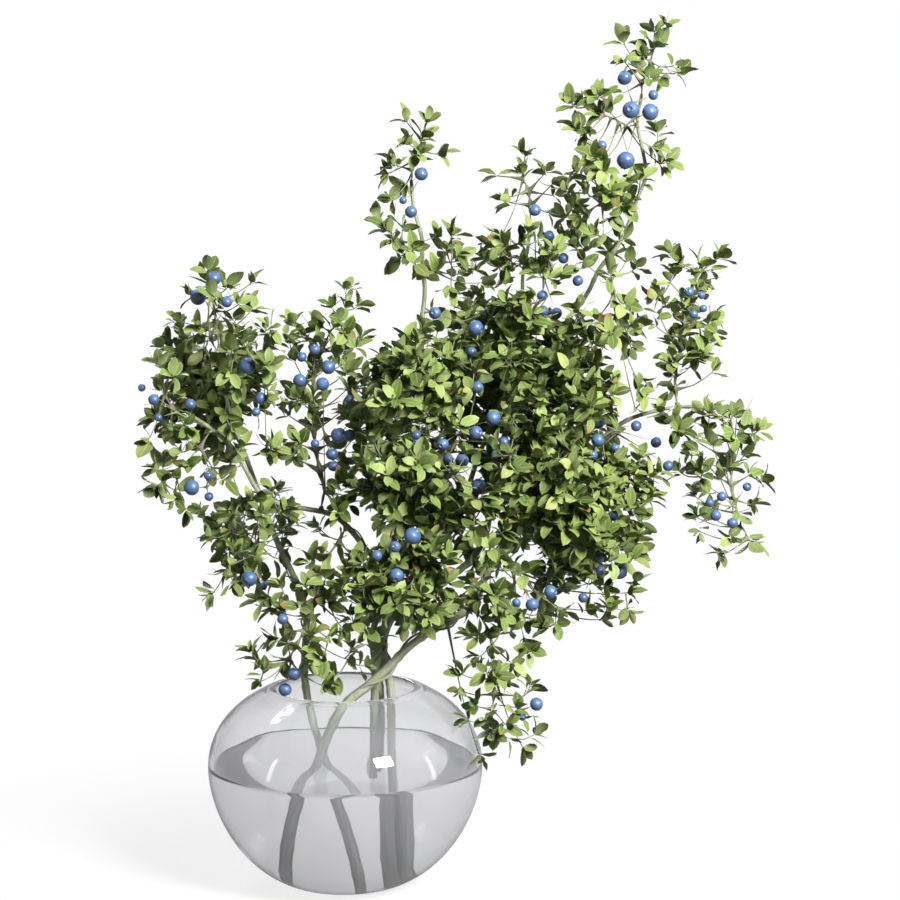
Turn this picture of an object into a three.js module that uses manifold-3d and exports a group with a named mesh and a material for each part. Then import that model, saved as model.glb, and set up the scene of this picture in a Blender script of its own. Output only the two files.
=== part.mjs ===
// Blueberry branches standing in a round glass vase of water.
// Millimetres, +Z up. The origin is the middle of the vase's flat underside, and -Y is the front.
//
// The wood is tapered tubes along curves. Each leafy shoot and each truss of berries is one closed skin
// that grows the way a plant does: a face of the skin is pushed out into a twig, and a bud's faces are
// pushed out into leaves or berries. Nothing is placed where it would touch what is already there.
import * as THREE from "three";
import { OBB } from "three/addons/math/OBB.js";
import { mergeVertices } from "three/addons/utils/BufferGeometryUtils.js";
import Module from "manifold-3d";

// ---- Driving dimensions ----

const GAP = 0.35; // clear space between two pieces that meet

const VASE = {
  height: 182,
  radius: 125, // at its widest
  widest: 109, // height of the widest ring
  dome: 84, // height from the widest ring to where the shoulder would close
  foot: 37, // radius of the flat underside
  wall: 4.5,
  floor: 6,
  shoulderPower: 2.15, // how square the curves are: 2 is an ellipse
  bowlPower: 1.79,
  facets: 28,
};
const WATER_LEVEL = 113;

const STEM = { step: 24, sides: 6 }; // length of each straight run of a tube, and its number of sides
const LEAF = { length: 19.5, spread: 3.5, width: 0.62, fold: 0.1 }; // width and fold as shares of the length
const WHORL = { leaves: 4, bud: 2.6, budRadius: 0.9, reach: 7 }; // reach is from a bud to its leaves' middle
const TWIG = { length: 13, spread: 4, radius: 0.7, lift: 0.35, lean: 58, straight: 26 };
const SHOOT = { radius: 1.3, tipRadius: 0.8, spacing: 19, node: 2.4, twigs: 0.15 };
const TRUSS = { radius: 0.9, tipRadius: 0.6, pedicelRadius: 0.5, node: 2 };
const SEED = 5; // another number gives other twigs and leaves, of the same kind and at the same places

// ---- Small helpers ----

const wasm = await Module();
wasm.setup();
const { cos, sin, PI, max, min, abs, floor, hypot } = Math;
const UP = new THREE.Vector3(0, 0, 1);
const vector = ([x, y, z]) => new THREE.Vector3(x, y, z);
const degrees = (angle) => (angle * PI) / 180;

const random = () => THREE.MathUtils.seededRandom();
const around = (middle, spread) => middle + (2 * random() - 1) * spread;
// Starts the random numbers anew, so that a change in one place leaves what grows in the others as it is.
const restart = (number) => THREE.MathUtils.seededRandom(SEED + number);

// A closed geometry as a manifold-3d solid, and back.
function solidOf(geometry) {
  const bare = geometry.clone();
  bare.deleteAttribute("normal");
  bare.deleteAttribute("uv");
  const merged = mergeVertices(bare, 1e-4);
  return new wasm.Manifold(
    new wasm.Mesh({
      numProp: 3,
      vertProperties: new Float32Array(merged.attributes.position.array),
      triVerts: new Uint32Array(merged.index.array),
    }),
  );
}

function geometryOf(solid) {
  const { vertProperties, triVerts } = solid.getMesh();
  return new THREE.BufferGeometry()
    .setAttribute("position", new THREE.BufferAttribute(vertProperties, 3))
    .setIndex(new THREE.BufferAttribute(triVerts, 1));
}

// ---- The vase and its water ----

// The vase's outer radius at a height, and the inner radius a wall's thickness inside it.
function outerRadius(z) {
  if (z < VASE.widest) {
    const down = (VASE.widest - z) / VASE.widest;
    const share = (1 - down ** VASE.bowlPower) ** (1 / VASE.bowlPower);
    return VASE.foot + (VASE.radius - VASE.foot) * share;
  }
  const up = (z - VASE.widest) / VASE.dome;
  return VASE.radius * (1 - up ** VASE.shoulderPower) ** (1 / VASE.shoulderPower);
}

function innerRadius(z) {
  const down = (VASE.widest - z) / (VASE.widest - VASE.floor);
  if (down <= 0) return outerRadius(z) - VASE.wall;
  const share = max(0, 1 - down ** VASE.bowlPower) ** (1 / VASE.bowlPower);
  const foot = VASE.foot - VASE.wall / 2;
  return foot + (VASE.radius - VASE.wall - foot) * share;
}

// Heights from low to high, closer together near both ends where the glass curves most.
function heights(low, high, count) {
  return Array.from({ length: count + 1 }, (_, i) => low + ((high - low) * (1 - cos((PI * i) / count))) / 2);
}

// LatheGeometry turns about Y, so the profile is stood up on Z.
function lathe(profile, facets) {
  return new THREE.LatheGeometry(profile, facets).rotateX(PI / 2);
}

function vaseGeometry() {
  const outside = heights(0, VASE.height, 10).map((z) => new THREE.Vector2(outerRadius(z), z));
  const inside = heights(VASE.floor, VASE.height, 9).map((z) => new THREE.Vector2(innerRadius(z), z));
  const axisUnder = new THREE.Vector2(0, 0);
  const axisOver = new THREE.Vector2(0, VASE.floor);
  return lathe([axisUnder, ...outside, ...inside.reverse(), axisOver], VASE.facets);
}

// The water fills the bowl a gap inside the glass, with a hollow round each stem that stands in it.
function waterGeometry(stems) {
  const shrink = cos(PI / VASE.facets); // keeps the flats of the facets clear of the glass
  const low = VASE.floor + GAP;
  const side = heights(low, WATER_LEVEL, 7).map((z) => {
    const below = max(VASE.floor, z - GAP);
    return new THREE.Vector2((innerRadius(below) - 2 * GAP) * shrink, z);
  });
  const profile = [new THREE.Vector2(0, low), ...side, new THREE.Vector2(0, WATER_LEVEL)];
  let water = solidOf(lathe(profile, VASE.facets));
  for (const stem of stems) water = water.subtract(solidOf(tube(stem, GAP)));
  const pieces = water.decompose().sort((a, b) => b.volume() - a.volume());
  return geometryOf(pieces[0]);
}

// ---- Wood ----

// Each stem is cut at its foot and stands on the vase's floor. Radius is at the foot and at the tip.
const STEMS = {
  stem_left_rear: {
    radius: [4.2, 1.5],
    path: [
      [14, -30, 12], [7, -29, 50], [-6, -24, 90], [-20, -14, 122], [-30, -4, 150], [-35, 6, 172],
      [-38, 12, 200], [-36, 18, 235], [-42, 22, 268], [-57, 25, 298], [-68, 26, 325], [-80, 24, 360],
      [-92, 22, 395], [-104, 20, 430], [-111, 17, 465], [-113, 15, 490],
    ],
  },
  stem_right_reaching: {
    radius: [5, 1.3],
    path: [
      [-45, -26, 15], [-42, -27, 50], [-34, -28, 88], [-22, -31, 122], [-10, -34, 152], [1, -36, 172],
      [13, -35, 183], [30, -30, 196], [47, -20, 211], [63, -12, 225], [80, -6, 235], [98, 0, 244],
      [112, 6, 254], [122, 10, 269], [130, 12, 285], [138, 12, 300], [150, 12, 316], [163, 14, 329],
      [182, 16, 346], [205, 18, 372], [226, 18, 398], [246, 16, 418], [268, 14, 429], [290, 12, 434],
      [312, 10, 437], [332, 6, 432], [345, 2, 421],
    ],
  },
  stem_left_arching: {
    radius: [4, 1.5],
    path: [
      [22, 50, 17], [22, 46, 60], [26, 38, 110], [31, 26, 150], [32, 15, 172], [28, 10, 195],
      [25, 10, 215], [26, 10, 236], [33, 8, 256], [41, 4, 272], [41, 0, 287], [30, -6, 301],
      [16, -10, 312], [6, -13, 328], [-8, -17, 341], [-32, -22, 348], [-56, -26, 353], [-74, -28, 364],
      [-86, -28, 384], [-98, -26, 404], [-118, -24, 421], [-138, -22, 434],
    ],
  },
  stem_centre_tall: {
    radius: [4.2, 1.4],
    path: [
      [24, 38, 17], [24, 34, 60], [25, 26, 110], [26, 14, 150], [27, 4, 175], [28, -2, 200],
      [33, -5, 225], [41, -7, 248], [49, -9, 275], [56, -10, 310], [64, -8, 350],
      [73, -6, 400], [77, -4, 440], [73, -2, 475], [69, 0, 503], [73, 0, 535], [71, 0, 562],
      [70, 0, 590], [63, 0, 615], [61, 0, 638],
    ],
  },
  stem_right_tall: {
    radius: [4.2, 1.3],
    path: [
      [44, -14, 14], [44, -12, 50], [43, -8, 90], [42, -2, 130], [42, 3, 160], [41, 5, 182],
      [37, 6, 198], [35, 6, 213], [36, 8, 230], [43, 13, 244], [56, 18, 256], [77, 21, 268],
      [100, 23, 282], [119, 26, 300], [129, 29, 322], [133, 30, 348], [138, 32, 380], [148, 34, 415],
      [164, 36, 450], [184, 37, 485], [204, 36, 515], [222, 34, 541], [232, 32, 562], [248, 30, 582],
      [258, 28, 604],
      [264, 26, 624], [271, 24, 643], [268, 22, 666], [263, 20, 690], [266, 18, 714],
    ],
  },
  stem_centre_right: {
    radius: [3.8, 1.3],
    path: [
      [28, 57, 21], [29, 55, 60], [31, 49, 110], [32, 38, 150], [30, 29, 178], [30, 26, 195],
      [31, 27, 212], [36, 30, 232], [46, 35, 254], [62, 42, 278], [84, 48, 304], [104, 52, 336],
      [118, 54, 375], [133, 54, 415], [149, 52, 450], [159, 50, 485], [162, 46, 520], [161, 43, 550],
      [166, 40, 577], [168, 38, 603],
    ],
  },
};

// A tapered tube along a curve: a closed cylinder, bent. Extra is added to its radius and its ends.
function tube({ curve, radius, steps, sides }, extra = 0) {
  const cylinder = new THREE.CylinderGeometry(radius[1] + extra, radius[0] + extra, 1, sides, steps);
  const frames = curve.computeFrenetFrames(steps, false);
  const position = cylinder.attributes.position;
  for (let i = 0; i < position.count; i++) {
    const along = position.getY(i) + 0.5;
    const step = Math.round(along * steps);
    const end = step === 0 ? -extra : step === steps ? extra : 0;
    const point = curve
      .getPointAt(step / steps)
      .addScaledVector(frames.tangents[step], end)
      .addScaledVector(frames.normals[step], position.getZ(i))
      .addScaledVector(frames.binormals[step], position.getX(i));
    position.setXYZ(i, point.x, point.y, point.z);
  }
  return cylinder;
}

// Where a shoot bound for a place leaves its bearer: nearest to that place, and just clear of the bark.
function budOn({ curve, radius }, towards) {
  const samples = 240;
  let best = { distance: Infinity };
  for (let i = 0; i <= samples; i++) {
    const point = curve.getPointAt(i / samples);
    const distance = point.distanceTo(towards);
    if (distance < best.distance) best = { distance, point, share: i / samples };
  }
  const atTip = best.share === 1;
  const direction = atTip ? curve.getTangentAt(1) : towards.clone().sub(best.point).normalize();
  const clear = atTip ? GAP + 0.1 : THREE.MathUtils.lerp(...radius, best.share) + GAP + 1;
  return { start: best.point.clone().addScaledVector(direction, clear), direction };
}

// ---- Clearance ----

// Boxes of what has been placed, kept in cells so that only near ones are compared.
class Clearance {
  cell = 28;
  cells = new Map();

  keys(box) {
    const [ax, ay, az] = [new THREE.Vector3(), new THREE.Vector3(), new THREE.Vector3()];
    box.rotation.extractBasis(ax, ay, az);
    const reach = ["x", "y", "z"].map(
      (k) => abs(ax[k]) * box.halfSize.x + abs(ay[k]) * box.halfSize.y + abs(az[k]) * box.halfSize.z,
    );
    const range = ["x", "y", "z"].map((k, i) => [
      floor((box.center[k] - reach[i]) / this.cell),
      floor((box.center[k] + reach[i]) / this.cell),
    ]);
    const found = [];
    for (let i = range[0][0]; i <= range[0][1]; i++)
      for (let j = range[1][0]; j <= range[1][1]; j++)
        for (let k = range[2][0]; k <= range[2][1]; k++) found.push(`${i},${j},${k}`);
    return found;
  }

  // A piece may touch what shares one of its tags, such as the twig that it grows from.
  add(box, tags) {
    for (const key of this.keys(box)) {
      if (!this.cells.has(key)) this.cells.set(key, []);
      this.cells.get(key).push({ box, tags });
    }
  }

  isFree(box, tags) {
    if (touchesVase(box)) return false;
    return this.keys(box).every((key) =>
      (this.cells.get(key) ?? []).every(
        (other) => other.tags.some((tag) => tags.includes(tag)) || !box.intersectsOBB(other.box),
      ),
    );
  }
}
const clearance = new Clearance();

// A box between two points, with its width along side and its depth square to both.
function boxBetween(from, to, side, halfWidth, halfDepth) {
  const along = to.clone().sub(from);
  const length = along.length();
  along.normalize();
  const across = side.clone().projectOnPlane(along).normalize();
  const depth = along.clone().cross(across);
  const rotation = new THREE.Matrix3().set(
    along.x, across.x, depth.x,
    along.y, across.y, depth.y,
    along.z, across.z, depth.z,
  );
  const middle = from.clone().add(to).multiplyScalar(0.5);
  return new OBB(middle, new THREE.Vector3(length / 2, halfWidth, halfDepth), rotation);
}

const rodBox = (from, to, radius) => {
  const side = abs(to.clone().sub(from).normalize().z) > 0.9 ? new THREE.Vector3(1, 0, 0) : UP;
  return boxBetween(from, to, side, radius + GAP, radius + GAP);
};

// A box touches the vase if one of its corners, or the middle of one of its long edges, is inside it.
function touchesVase(box) {
  const axes = [new THREE.Vector3(), new THREE.Vector3(), new THREE.Vector3()];
  box.rotation.extractBasis(...axes);
  const { x, y, z } = box.halfSize;
  for (const i of [-1, 0, 1])
    for (const j of [-1, 1])
      for (const k of [-1, 1]) {
        const corner = box.center
          .clone()
          .addScaledVector(axes[0], i * x)
          .addScaledVector(axes[1], j * y)
          .addScaledVector(axes[2], k * z);
        if (corner.z > VASE.height + 1) continue;
        if (hypot(corner.x, corner.y) < outerRadius(max(0, corner.z)) + 1.5) return true;
      }
  return false;
}

// ---- The growing skin ----

// A closed skin of triangles. It starts as a flat three-cornered scale and grows by pushing faces out.
class Skin {
  points = [];
  faces = new Set();

  constructor(centre, direction, radius) {
    const side = abs(direction.z) > 0.9 ? new THREE.Vector3(1, 0, 0) : UP;
    const u = side.clone().projectOnPlane(direction).normalize();
    const ring = this.turned(centre, direction, u, radius).map((point) => this.point(point));
    this.face(ring[0], ring[2], ring[1]);
    this.start = this.face(...ring);
  }

  point(p) {
    this.points.push(p);
    return this.points.length - 1;
  }

  face(...corners) {
    this.faces.add(corners);
    return corners;
  }

  centre(face) {
    const sum = face.reduce((total, i) => total.add(this.points[i]), new THREE.Vector3());
    return sum.divideScalar(3);
  }

  normal(face) {
    const [a, b, c] = face.map((i) => this.points[i]);
    return b.clone().sub(a).cross(c.clone().sub(a)).normalize();
  }

  // Three points round a centre, square to a direction, the first of them towards u.
  turned(centre, direction, u, radius) {
    const v = direction.clone().cross(u);
    return [0, 1, 2].map((k) =>
      centre
        .clone()
        .addScaledVector(u, radius * cos((2 * PI * k) / 3))
        .addScaledVector(v, radius * sin((2 * PI * k) / 3)),
    );
  }

  // A ring that lines up with a face's own corners.
  ring(face, centre, direction, radius) {
    const first = this.points[face[0]].clone().sub(this.centre(face));
    const u = first.projectOnPlane(direction).normalize();
    return this.turned(centre, direction, u, radius);
  }

  // Pushes a face out to a ring of three points.
  push(face, ring) {
    this.faces.delete(face);
    const end = ring.map((p) => this.point(p));
    const sides = [];
    for (let i = 0; i < 3; i++) {
      const j = (i + 1) % 3;
      sides.push(this.face(face[i], face[j], end[j]), this.face(face[i], end[j], end[i]));
    }
    return { sides, end: this.face(...end) };
  }

  // Pushes a face out into a folded leaf: a keel from its lowest corner to the tip, and a wing each side.
  leaf(face, { tip, left, right, up }) {
    this.faces.delete(face);
    const height = face.map((i) => this.points[i].dot(up));
    const turn = height.indexOf(min(...height));
    const [a, b, c] = [0, 1, 2].map((k) => face[(turn + k) % 3]);
    const [t, l, r] = [tip, left, right].map((p) => this.point(p));
    this.face(a, b, l);
    this.face(a, l, t);
    this.face(a, t, r);
    this.face(c, a, r);
    this.face(b, c, r);
    this.face(b, r, l);
    this.face(l, r, t);
  }

  // Pushes a face out into a berry, twenty-sided, that hangs from it along a direction.
  berry(face, direction, radius) {
    const golden = (1 + Math.sqrt(5)) / 2;
    const shell = new THREE.IcosahedronGeometry(radius, 0);
    shell.deleteAttribute("normal");
    shell.deleteAttribute("uv");
    const merged = mergeVertices(shell);
    const corner = (i) => new THREE.Vector3().fromBufferAttribute(merged.attributes.position, i);
    const index = [...merged.index.array];
    const [p, q, s] = index.slice(0, 3).map(corner);
    // Turn the ball so that its first face looks back at the stalk, in line with the stalk's corners.
    const inradius = (radius * golden * golden) / (Math.sqrt(3) * hypot(1, golden));
    const middle = this.centre(face).addScaledVector(direction, inradius + TRUSS.pedicelRadius);
    const faceOut = p.clone().add(q).add(s).normalize();
    const cornerOut = p.clone().projectOnPlane(faceOut).normalize();
    const from = new THREE.Matrix4().makeBasis(faceOut, cornerOut, faceOut.clone().cross(cornerOut));
    const back = direction.clone().negate();
    const own = this.points[face[0]].clone().sub(this.centre(face)).projectOnPlane(back).normalize();
    const to = new THREE.Matrix4().makeBasis(back, own, back.clone().cross(own));
    const turn = to.multiply(from.transpose());
    // The ball's first face runs the other way round than the stalk's end, so its corners are met in reverse.
    const placed = [...Array(12).keys()].map((i) => this.point(corner(i).applyMatrix4(turn).add(middle)));
    const [i0, i1, i2] = index.slice(0, 3).map((i) => placed[i]);
    this.faces.delete(face);
    const neck = [i0, i2, i1];
    for (let k = 0; k < 3; k++) {
      const m = (k + 1) % 3;
      this.face(face[k], face[m], neck[m]);
      this.face(face[k], neck[m], neck[k]);
    }
    for (let f = 3; f < index.length; f += 3) this.face(...index.slice(f, f + 3).map((i) => placed[i]));
    return middle;
  }

  save() {
    return { count: this.points.length, faces: [...this.faces] };
  }

  restore({ count, faces }) {
    this.points.length = count;
    this.faces = new Set(faces);
  }

  geometry() {
    const positions = new Float32Array(this.points.flatMap((p) => [p.x, p.y, p.z]));
    return new THREE.BufferGeometry()
      .setAttribute("position", new THREE.BufferAttribute(positions, 3))
      .setIndex([...this.faces].flat());
  }
}

// Whatever can bear a shoot: its centre line, its radius at both ends, and its name.
const bearers = new Map();

// ---- Leafy shoots and trusses of berries: where they grow from, and where they go ----

// Path is the way of the axis after it leaves its bearer. Tufts are the places of the buds that twigs
// from the axis end in, and the axis itself ends in one. Spacing is from one of its nodes to the next.
const SHOOTS = {
  shoot_left_crown: {
    from: "stem_left_rear",
    spacing: 11,
    path: [[-115, 12, 512], [-118, 18, 530], [-120, 20, 545]],
    tufts: [
      [-124, -4, 549], [-136, 6, 540], [-114, -22, 532], [-101, 6, 545], [-91, -8, 534], [-81, 14, 549],
      [-76, 4, 537], [-80, 20, 525], [-131, -8, 514], [-145, 2, 510], [-118, 6, 517], [-152, -12, 505],
      [-98, 44, 512], [-109, 40, 502], [-127, 40, 486],
    ],
  },
  shoot_left_shoulder: {
    from: "stem_left_rear",
    spacing: 14,
    path: [[-96, -8, 466], [-82, -16, 480], [-69, -20, 490]],
    tufts: [
      [-91, -22, 501], [-76, -10, 502], [-56, -22, 506], [-71, -28, 469], [-97, -46, 490],
      [-85, -34, 459], [-66, -26, 452], [-101, -28, 418], [-76, -34, 406], [-64, -10, 427],
    ],
  },
  shoot_left_outer: {
    from: "stem_left_arching",
    spacing: 13,
    path: [[-149, -26, 438], [-158, -30, 452]],
    tufts: [
      [-157, -20, 465], [-160, -30, 482], [-145, -46, 471], [-153, -40, 426], [-137, -46, 427],
      [-171, -38, 408],
    ],
  },
  shoot_left_low_outer: {
    from: "stem_left_arching",
    spacing: 15,
    path: [[-134, -42, 396], [-148, -46, 384], [-160, -44, 374]],
    tufts: [
      [-166, -52, 384], [-144, -60, 381], [-127, -60, 354], [-146, -30, 364], [-116, -30, 384],
      [-108, -62, 370], [-160, -20, 388], [-140, -56, 350],
    ],
  },
  shoot_left_back: {
    from: "stem_left_rear",
    path: [[-118, 46, 434], [-138, 66, 456], [-152, 84, 480]],
    tufts: [[-92, 74, 478], [-164, 56, 424], [-104, 86, 430], [-134, 100, 440], [-120, 70, 400]],
  },
  shoot_left_front_low: {
    from: "stem_left_arching",
    spacing: 15,
    path: [[-94, -48, 352], [-97, -58, 328], [-100, -60, 302]],
    tufts: [
      [-101, -40, 394], [-72, -50, 360], [-49, -50, 347], [-90, -66, 327], [-106, -50, 312],
      [-76, -62, 331], [-98, -40, 341], [-67, -50, 314], [-50, -34, 331], [-107, -50, 282], [-94, -66, 284],
      [-83, -44, 309], [-58, -56, 344],
    ],
  },
  shoot_left_low_back: {
    from: "stem_left_rear",
    path: [[-84, 46, 322], [-104, 60, 320], [-118, 66, 320]],
    tufts: [
      [-70, 72, 340], [-98, 40, 292], [-110, 90, 300], [-101, 80, 333], [-60, 60, 296], [-89, 60, 268],
    ],
  },
  shoot_middle_left: {
    from: "stem_left_arching",
    radius: [2.4, 0.9],
    path: [[-18, -6, 362], [-24, 0, 388], [-28, 4, 424], [-26, 6, 468], [-19, 4, 490], [-11, 2, 506]],
    tufts: [
      [1, 0, 526], [3, -14, 507], [8, -6, 498], [-23, 8, 513], [-33, 0, 505], [-47, -10, 500],
      [-47, 10, 482], [-9, -22, 488], [6, -14, 474], [-2, -22, 460], [15, -4, 455], [5, -26, 437],
      [15, -10, 427], [-44, -10, 450], [-22, -24, 449], [-50, 0, 435], [-42, -26, 407], [0, -40, 372],
      [-2, 44, 470], [-46, 36, 446], [-10, 40, 392], [-54, -6, 397], [3, -34, 359], [-9, -46, 345],
    ],
  },
  shoot_low_left: {
    from: "stem_left_arching",
    radius: [2.2, 0.9],
    spacing: 15,
    path: [[-6, -30, 318], [-17, -38, 298], [-24, -46, 268], [-36, -56, 240], [-48, -60, 218]],
    tufts: [
      [-32, -50, 306], [-21, -60, 312], [-36, -70, 271], [-10, -66, 270], [4, -56, 279], [-13, -70, 292],
      [16, -50, 301], [-1, -66, 250], [14, -56, 245], [-16, -84, 236], [-62, -60, 237], [-67, -66, 223],
      [-68, -70, 206], [-41, -84, 197], [-18, -84, 202], [11, -60, 220], [-59, -50, 256], [-51, -64, 245],
      [-60, -62, 262], [26, -44, 226],
    ],
  },
  shoot_centre_front_low: {
    from: "stem_centre_tall",
    path: [[46, -34, 288], [42, -58, 290], [36, -80, 292]],
    tufts: [
      [78, -52, 304], [60, -72, 322], [84, -44, 258], [14, -54, 300], [58, -92, 278], [20, -84, 268],
      [87, -70, 285], [135, -56, 275], [87, -84, 312],
    ],
  },
  shoot_centre_front: {
    from: "stem_centre_tall",
    path: [[62, -34, 352], [52, -56, 368], [46, -76, 384]],
    tufts: [
      [80, -62, 378], [44, -52, 356], [24, -70, 372], [70, -88, 404], [86, -40, 344], [34, -50, 400],
      [115, -60, 357], [127, -40, 348], [140, -46, 331], [97, -76, 390],
    ],
  },
  shoot_centre_front_high: {
    from: "stem_centre_tall",
    path: [[66, -26, 446], [60, -42, 460], [56, -52, 474]],
    tufts: [
      [86, -44, 456], [50, -66, 446], [62, -30, 500], [32, -40, 456], [74, -64, 480], [98, -30, 478],
      [88, -60, 448], [111, -50, 468], [92, -62, 428],
    ],
  },
  shoot_centre_back: {
    from: "stem_centre_right",
    path: [[72, 72, 322], [56, 92, 356], [40, 104, 398]],
    tufts: [
      [96, 92, 340], [30, 80, 330], [76, 116, 372], [16, 92, 376], [64, 84, 420], [104, 76, 300],
      [50, 66, 296], [12, 100, 424],
    ],
  },
  shoot_centre_upper_back: {
    from: "stem_centre_tall",
    path: [[66, 26, 456], [64, 46, 474], [62, 56, 488]],
    tufts: [
      [84, 46, 474], [36, 52, 470], [74, 76, 500], [38, 30, 450], [82, 40, 520], [86, 10, 509],
      [97, 20, 492],
    ],
  },
  shoot_centre_crown: {
    from: "stem_centre_tall",
    spacing: 10,
    path: [[63, 0, 650], [67, 0, 664], [71, 0, 676]],
    tufts: [
      [72, -4, 690], [58, 6, 691], [56, 0, 677], [67, -8, 661], [89, -2, 660], [43, -6, 653], [37, 4, 633],
      [55, 10, 633], [46, -4, 619],
    ],
  },
  shoot_centre_upper_left: {
    from: "stem_centre_tall",
    spacing: 12,
    path: [[58, -12, 578], [49, -15, 589], [42, -14, 594]],
    tufts: [
      [36, -20, 592], [39, 0, 602], [60, -24, 582], [51, 6, 570], [87, -22, 581], [63, 8, 556],
      [72, -10, 567],
    ],
  },
  shoot_centre_upper_right: {
    from: "stem_centre_tall",
    spacing: 13,
    path: [[84, -12, 560], [92, -16, 577], [97, -16, 590]],
    tufts: [
      [86, 4, 581], [100, -26, 579], [107, -14, 568], [121, -6, 562], [135, 0, 555], [92, -16, 545],
      [103, 8, 545],
    ],
  },
  shoot_right_centre_crown: {
    from: "stem_centre_right",
    spacing: 12,
    path: [[168, 36, 617], [165, 34, 632], [161, 32, 643]],
    tufts: [
      [159, 26, 656], [142, 28, 635], [144, 34, 619], [147, 20, 613], [174, 30, 655], [190, 24, 639],
      [188, 40, 607], [201, 36, 609], [143, 30, 589],
    ],
  },
  shoot_right_centre_upper: {
    from: "stem_centre_right",
    spacing: 13,
    path: [[152, 18, 564], [148, 2, 574], [144, -6, 580]],
    tufts: [
      [137, 10, 581], [156, -10, 582], [179, -10, 573], [144, -4, 558], [163, 10, 561], [177, -10, 555],
      [186, 54, 576], [138, 60, 560],
    ],
  },
  shoot_right_centre_front: {
    from: "stem_centre_right",
    path: [[152, 22, 490], [150, 0, 500], [150, -20, 508]],
    tufts: [
      [180, 2, 502], [126, -16, 484], [148, -30, 474], [170, -30, 526], [186, 24, 480], [116, 16, 508],
      [161, -40, 408], [170, -10, 459],
    ],
  },
  shoot_right_centre_back: {
    from: "stem_centre_right",
    path: [[126, 82, 426], [134, 100, 452], [146, 108, 486]],
    tufts: [
      [98, 96, 440], [162, 92, 446], [112, 118, 474], [174, 106, 500], [128, 84, 514], [100, 84, 400],
      [152, 116, 414],
    ],
  },
  shoot_right_crown: {
    from: "stem_right_tall",
    spacing: 11,
    path: [[267, 16, 726], [272, 12, 742], [276, 8, 755]],
    tufts: [
      [281, 4, 774], [268, -4, 758], [262, 10, 761], [246, 4, 762], [246, -4, 755], [300, 2, 732],
      [264, -8, 738], [273, -12, 729], [281, -8, 724], [259, -4, 724], [262, 36, 738], [277, 14, 770],
    ],
  },
  shoot_right_upper: {
    from: "stem_right_tall",
    spacing: 11,
    path: [[254, 14, 688], [241, 6, 694], [230, -2, 697]],
    tufts: [
      [219, -6, 705], [218, -14, 682], [214, -4, 672], [222, -10, 664], [234, 6, 712], [242, -8, 712],
      [229, -18, 657], [278, 10, 665], [285, 6, 654], [256, -14, 642],
    ],
  },
  shoot_right_middle: {
    from: "stem_right_tall",
    spacing: 12,
    path: [[248, 6, 624], [232, -4, 620], [220, -8, 614]],
    tufts: [
      [212, -8, 626], [202, -10, 606], [210, 4, 597], [226, -20, 629], [232, -24, 619], [242, -14, 643],
      [253, -10, 617], [242, 4, 603], [232, -8, 587], [218, 30, 642], [196, 20, 606],
    ],
  },
  shoot_right_middle_low: {
    from: "stem_right_tall",
    path: [[242, 12, 548], [244, 0, 528], [246, -8, 508]],
    tufts: [
      [252, 36, 572], [214, 4, 560], [262, -6, 462], [236, -28, 504], [256, 26, 500], [220, -10, 470],
      [266, 0, 420], [238, -4, 562], [214, -14, 507],
    ],
  },
  shoot_right_mass_high: {
    from: "stem_right_tall",
    path: [[184, 8, 458], [204, -12, 462], [226, -24, 456]],
    tufts: [
      [200, -30, 478], [180, -28, 434], [222, -4, 496], [168, -14, 478], [216, -48, 436], [208, 64, 468],
      [180, 70, 440], [261, -20, 383],
    ],
  },
  shoot_right_mass_front: {
    from: "stem_right_reaching",
    path: [[206, -12, 392], [194, -36, 388], [184, -60, 386]],
    tufts: [
      [238, -26, 382], [156, -44, 374], [204, -66, 408], [166, -36, 412], [132, -60, 390], [208, -54, 356],
      [258, -10, 370], [232, 50, 420],
    ],
  },
  shoot_right_mass_low: {
    from: "stem_right_reaching",
    path: [[180, -14, 330], [204, -28, 334], [228, -34, 334]],
    tufts: [
      [180, -46, 336], [210, -54, 316], [248, -26, 306], [172, -38, 362], [224, -50, 360],
      [256, -22, 340], [206, 10, 306], [146, -34, 340], [262, -14, 313], [246, -34, 358],
    ],
  },
  shoot_right_hanging: {
    from: "stem_right_reaching",
    path: [[156, -10, 288], [172, -22, 274], [192, -26, 258]],
    tufts: [
      [160, -44, 294], [150, -36, 250], [184, -44, 250], [222, -24, 256], [210, -30, 290], [232, -6, 282],
      [182, 8, 262], [254, -14, 268], [237, -20, 252], [168, -44, 255], [154, -30, 236], [189, -50, 283],
    ],
  },
  shoot_right_mass_back: {
    from: "stem_right_tall",
    path: [[160, 66, 366], [184, 86, 352], [206, 92, 330], [216, 90, 300]],
    tufts: [
      [210, 92, 380], [160, 100, 342], [236, 78, 350], [184, 108, 314], [196, 68, 284], [240, 80, 310],
      [144, 88, 388], [160, 76, 300], [188, 70, 398],
    ],
  },
  shoot_far_right_upright: {
    from: "stem_right_reaching",
    radius: [2, 0.9],
    spacing: 13,
    path: [[298, 15, 458], [303, 14, 488], [306, 12, 513], [312, 9, 540], [319, 6, 560]],
    tufts: [
      [331, 8, 568], [338, 10, 575], [300, 0, 565], [294, -6, 562], [308, 8, 563], [288, -4, 542],
      [323, -4, 547], [329, 4, 544], [295, -10, 528], [286, -8, 523], [284, 4, 527], [333, 2, 515],
      [330, 8, 504], [293, 4, 501], [293, -10, 489], [286, 2, 485], [308, -8, 484], [329, 2, 470],
      [327, -6, 496],
    ],
  },
  shoot_far_right_drooping: {
    from: "stem_right_reaching",
    radius: [1.6, 0.8],
    spacing: 13,
    path: [[349, -1, 404], [348, -4, 384], [349, -6, 362], [355, -6, 342], [360, -3, 328], [366, 0, 317]],
    tufts: [
      [290, -12, 425], [300, -20, 426], [313, -16, 425], [305, -12, 409], [339, -4, 440], [342, -14, 430],
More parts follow.
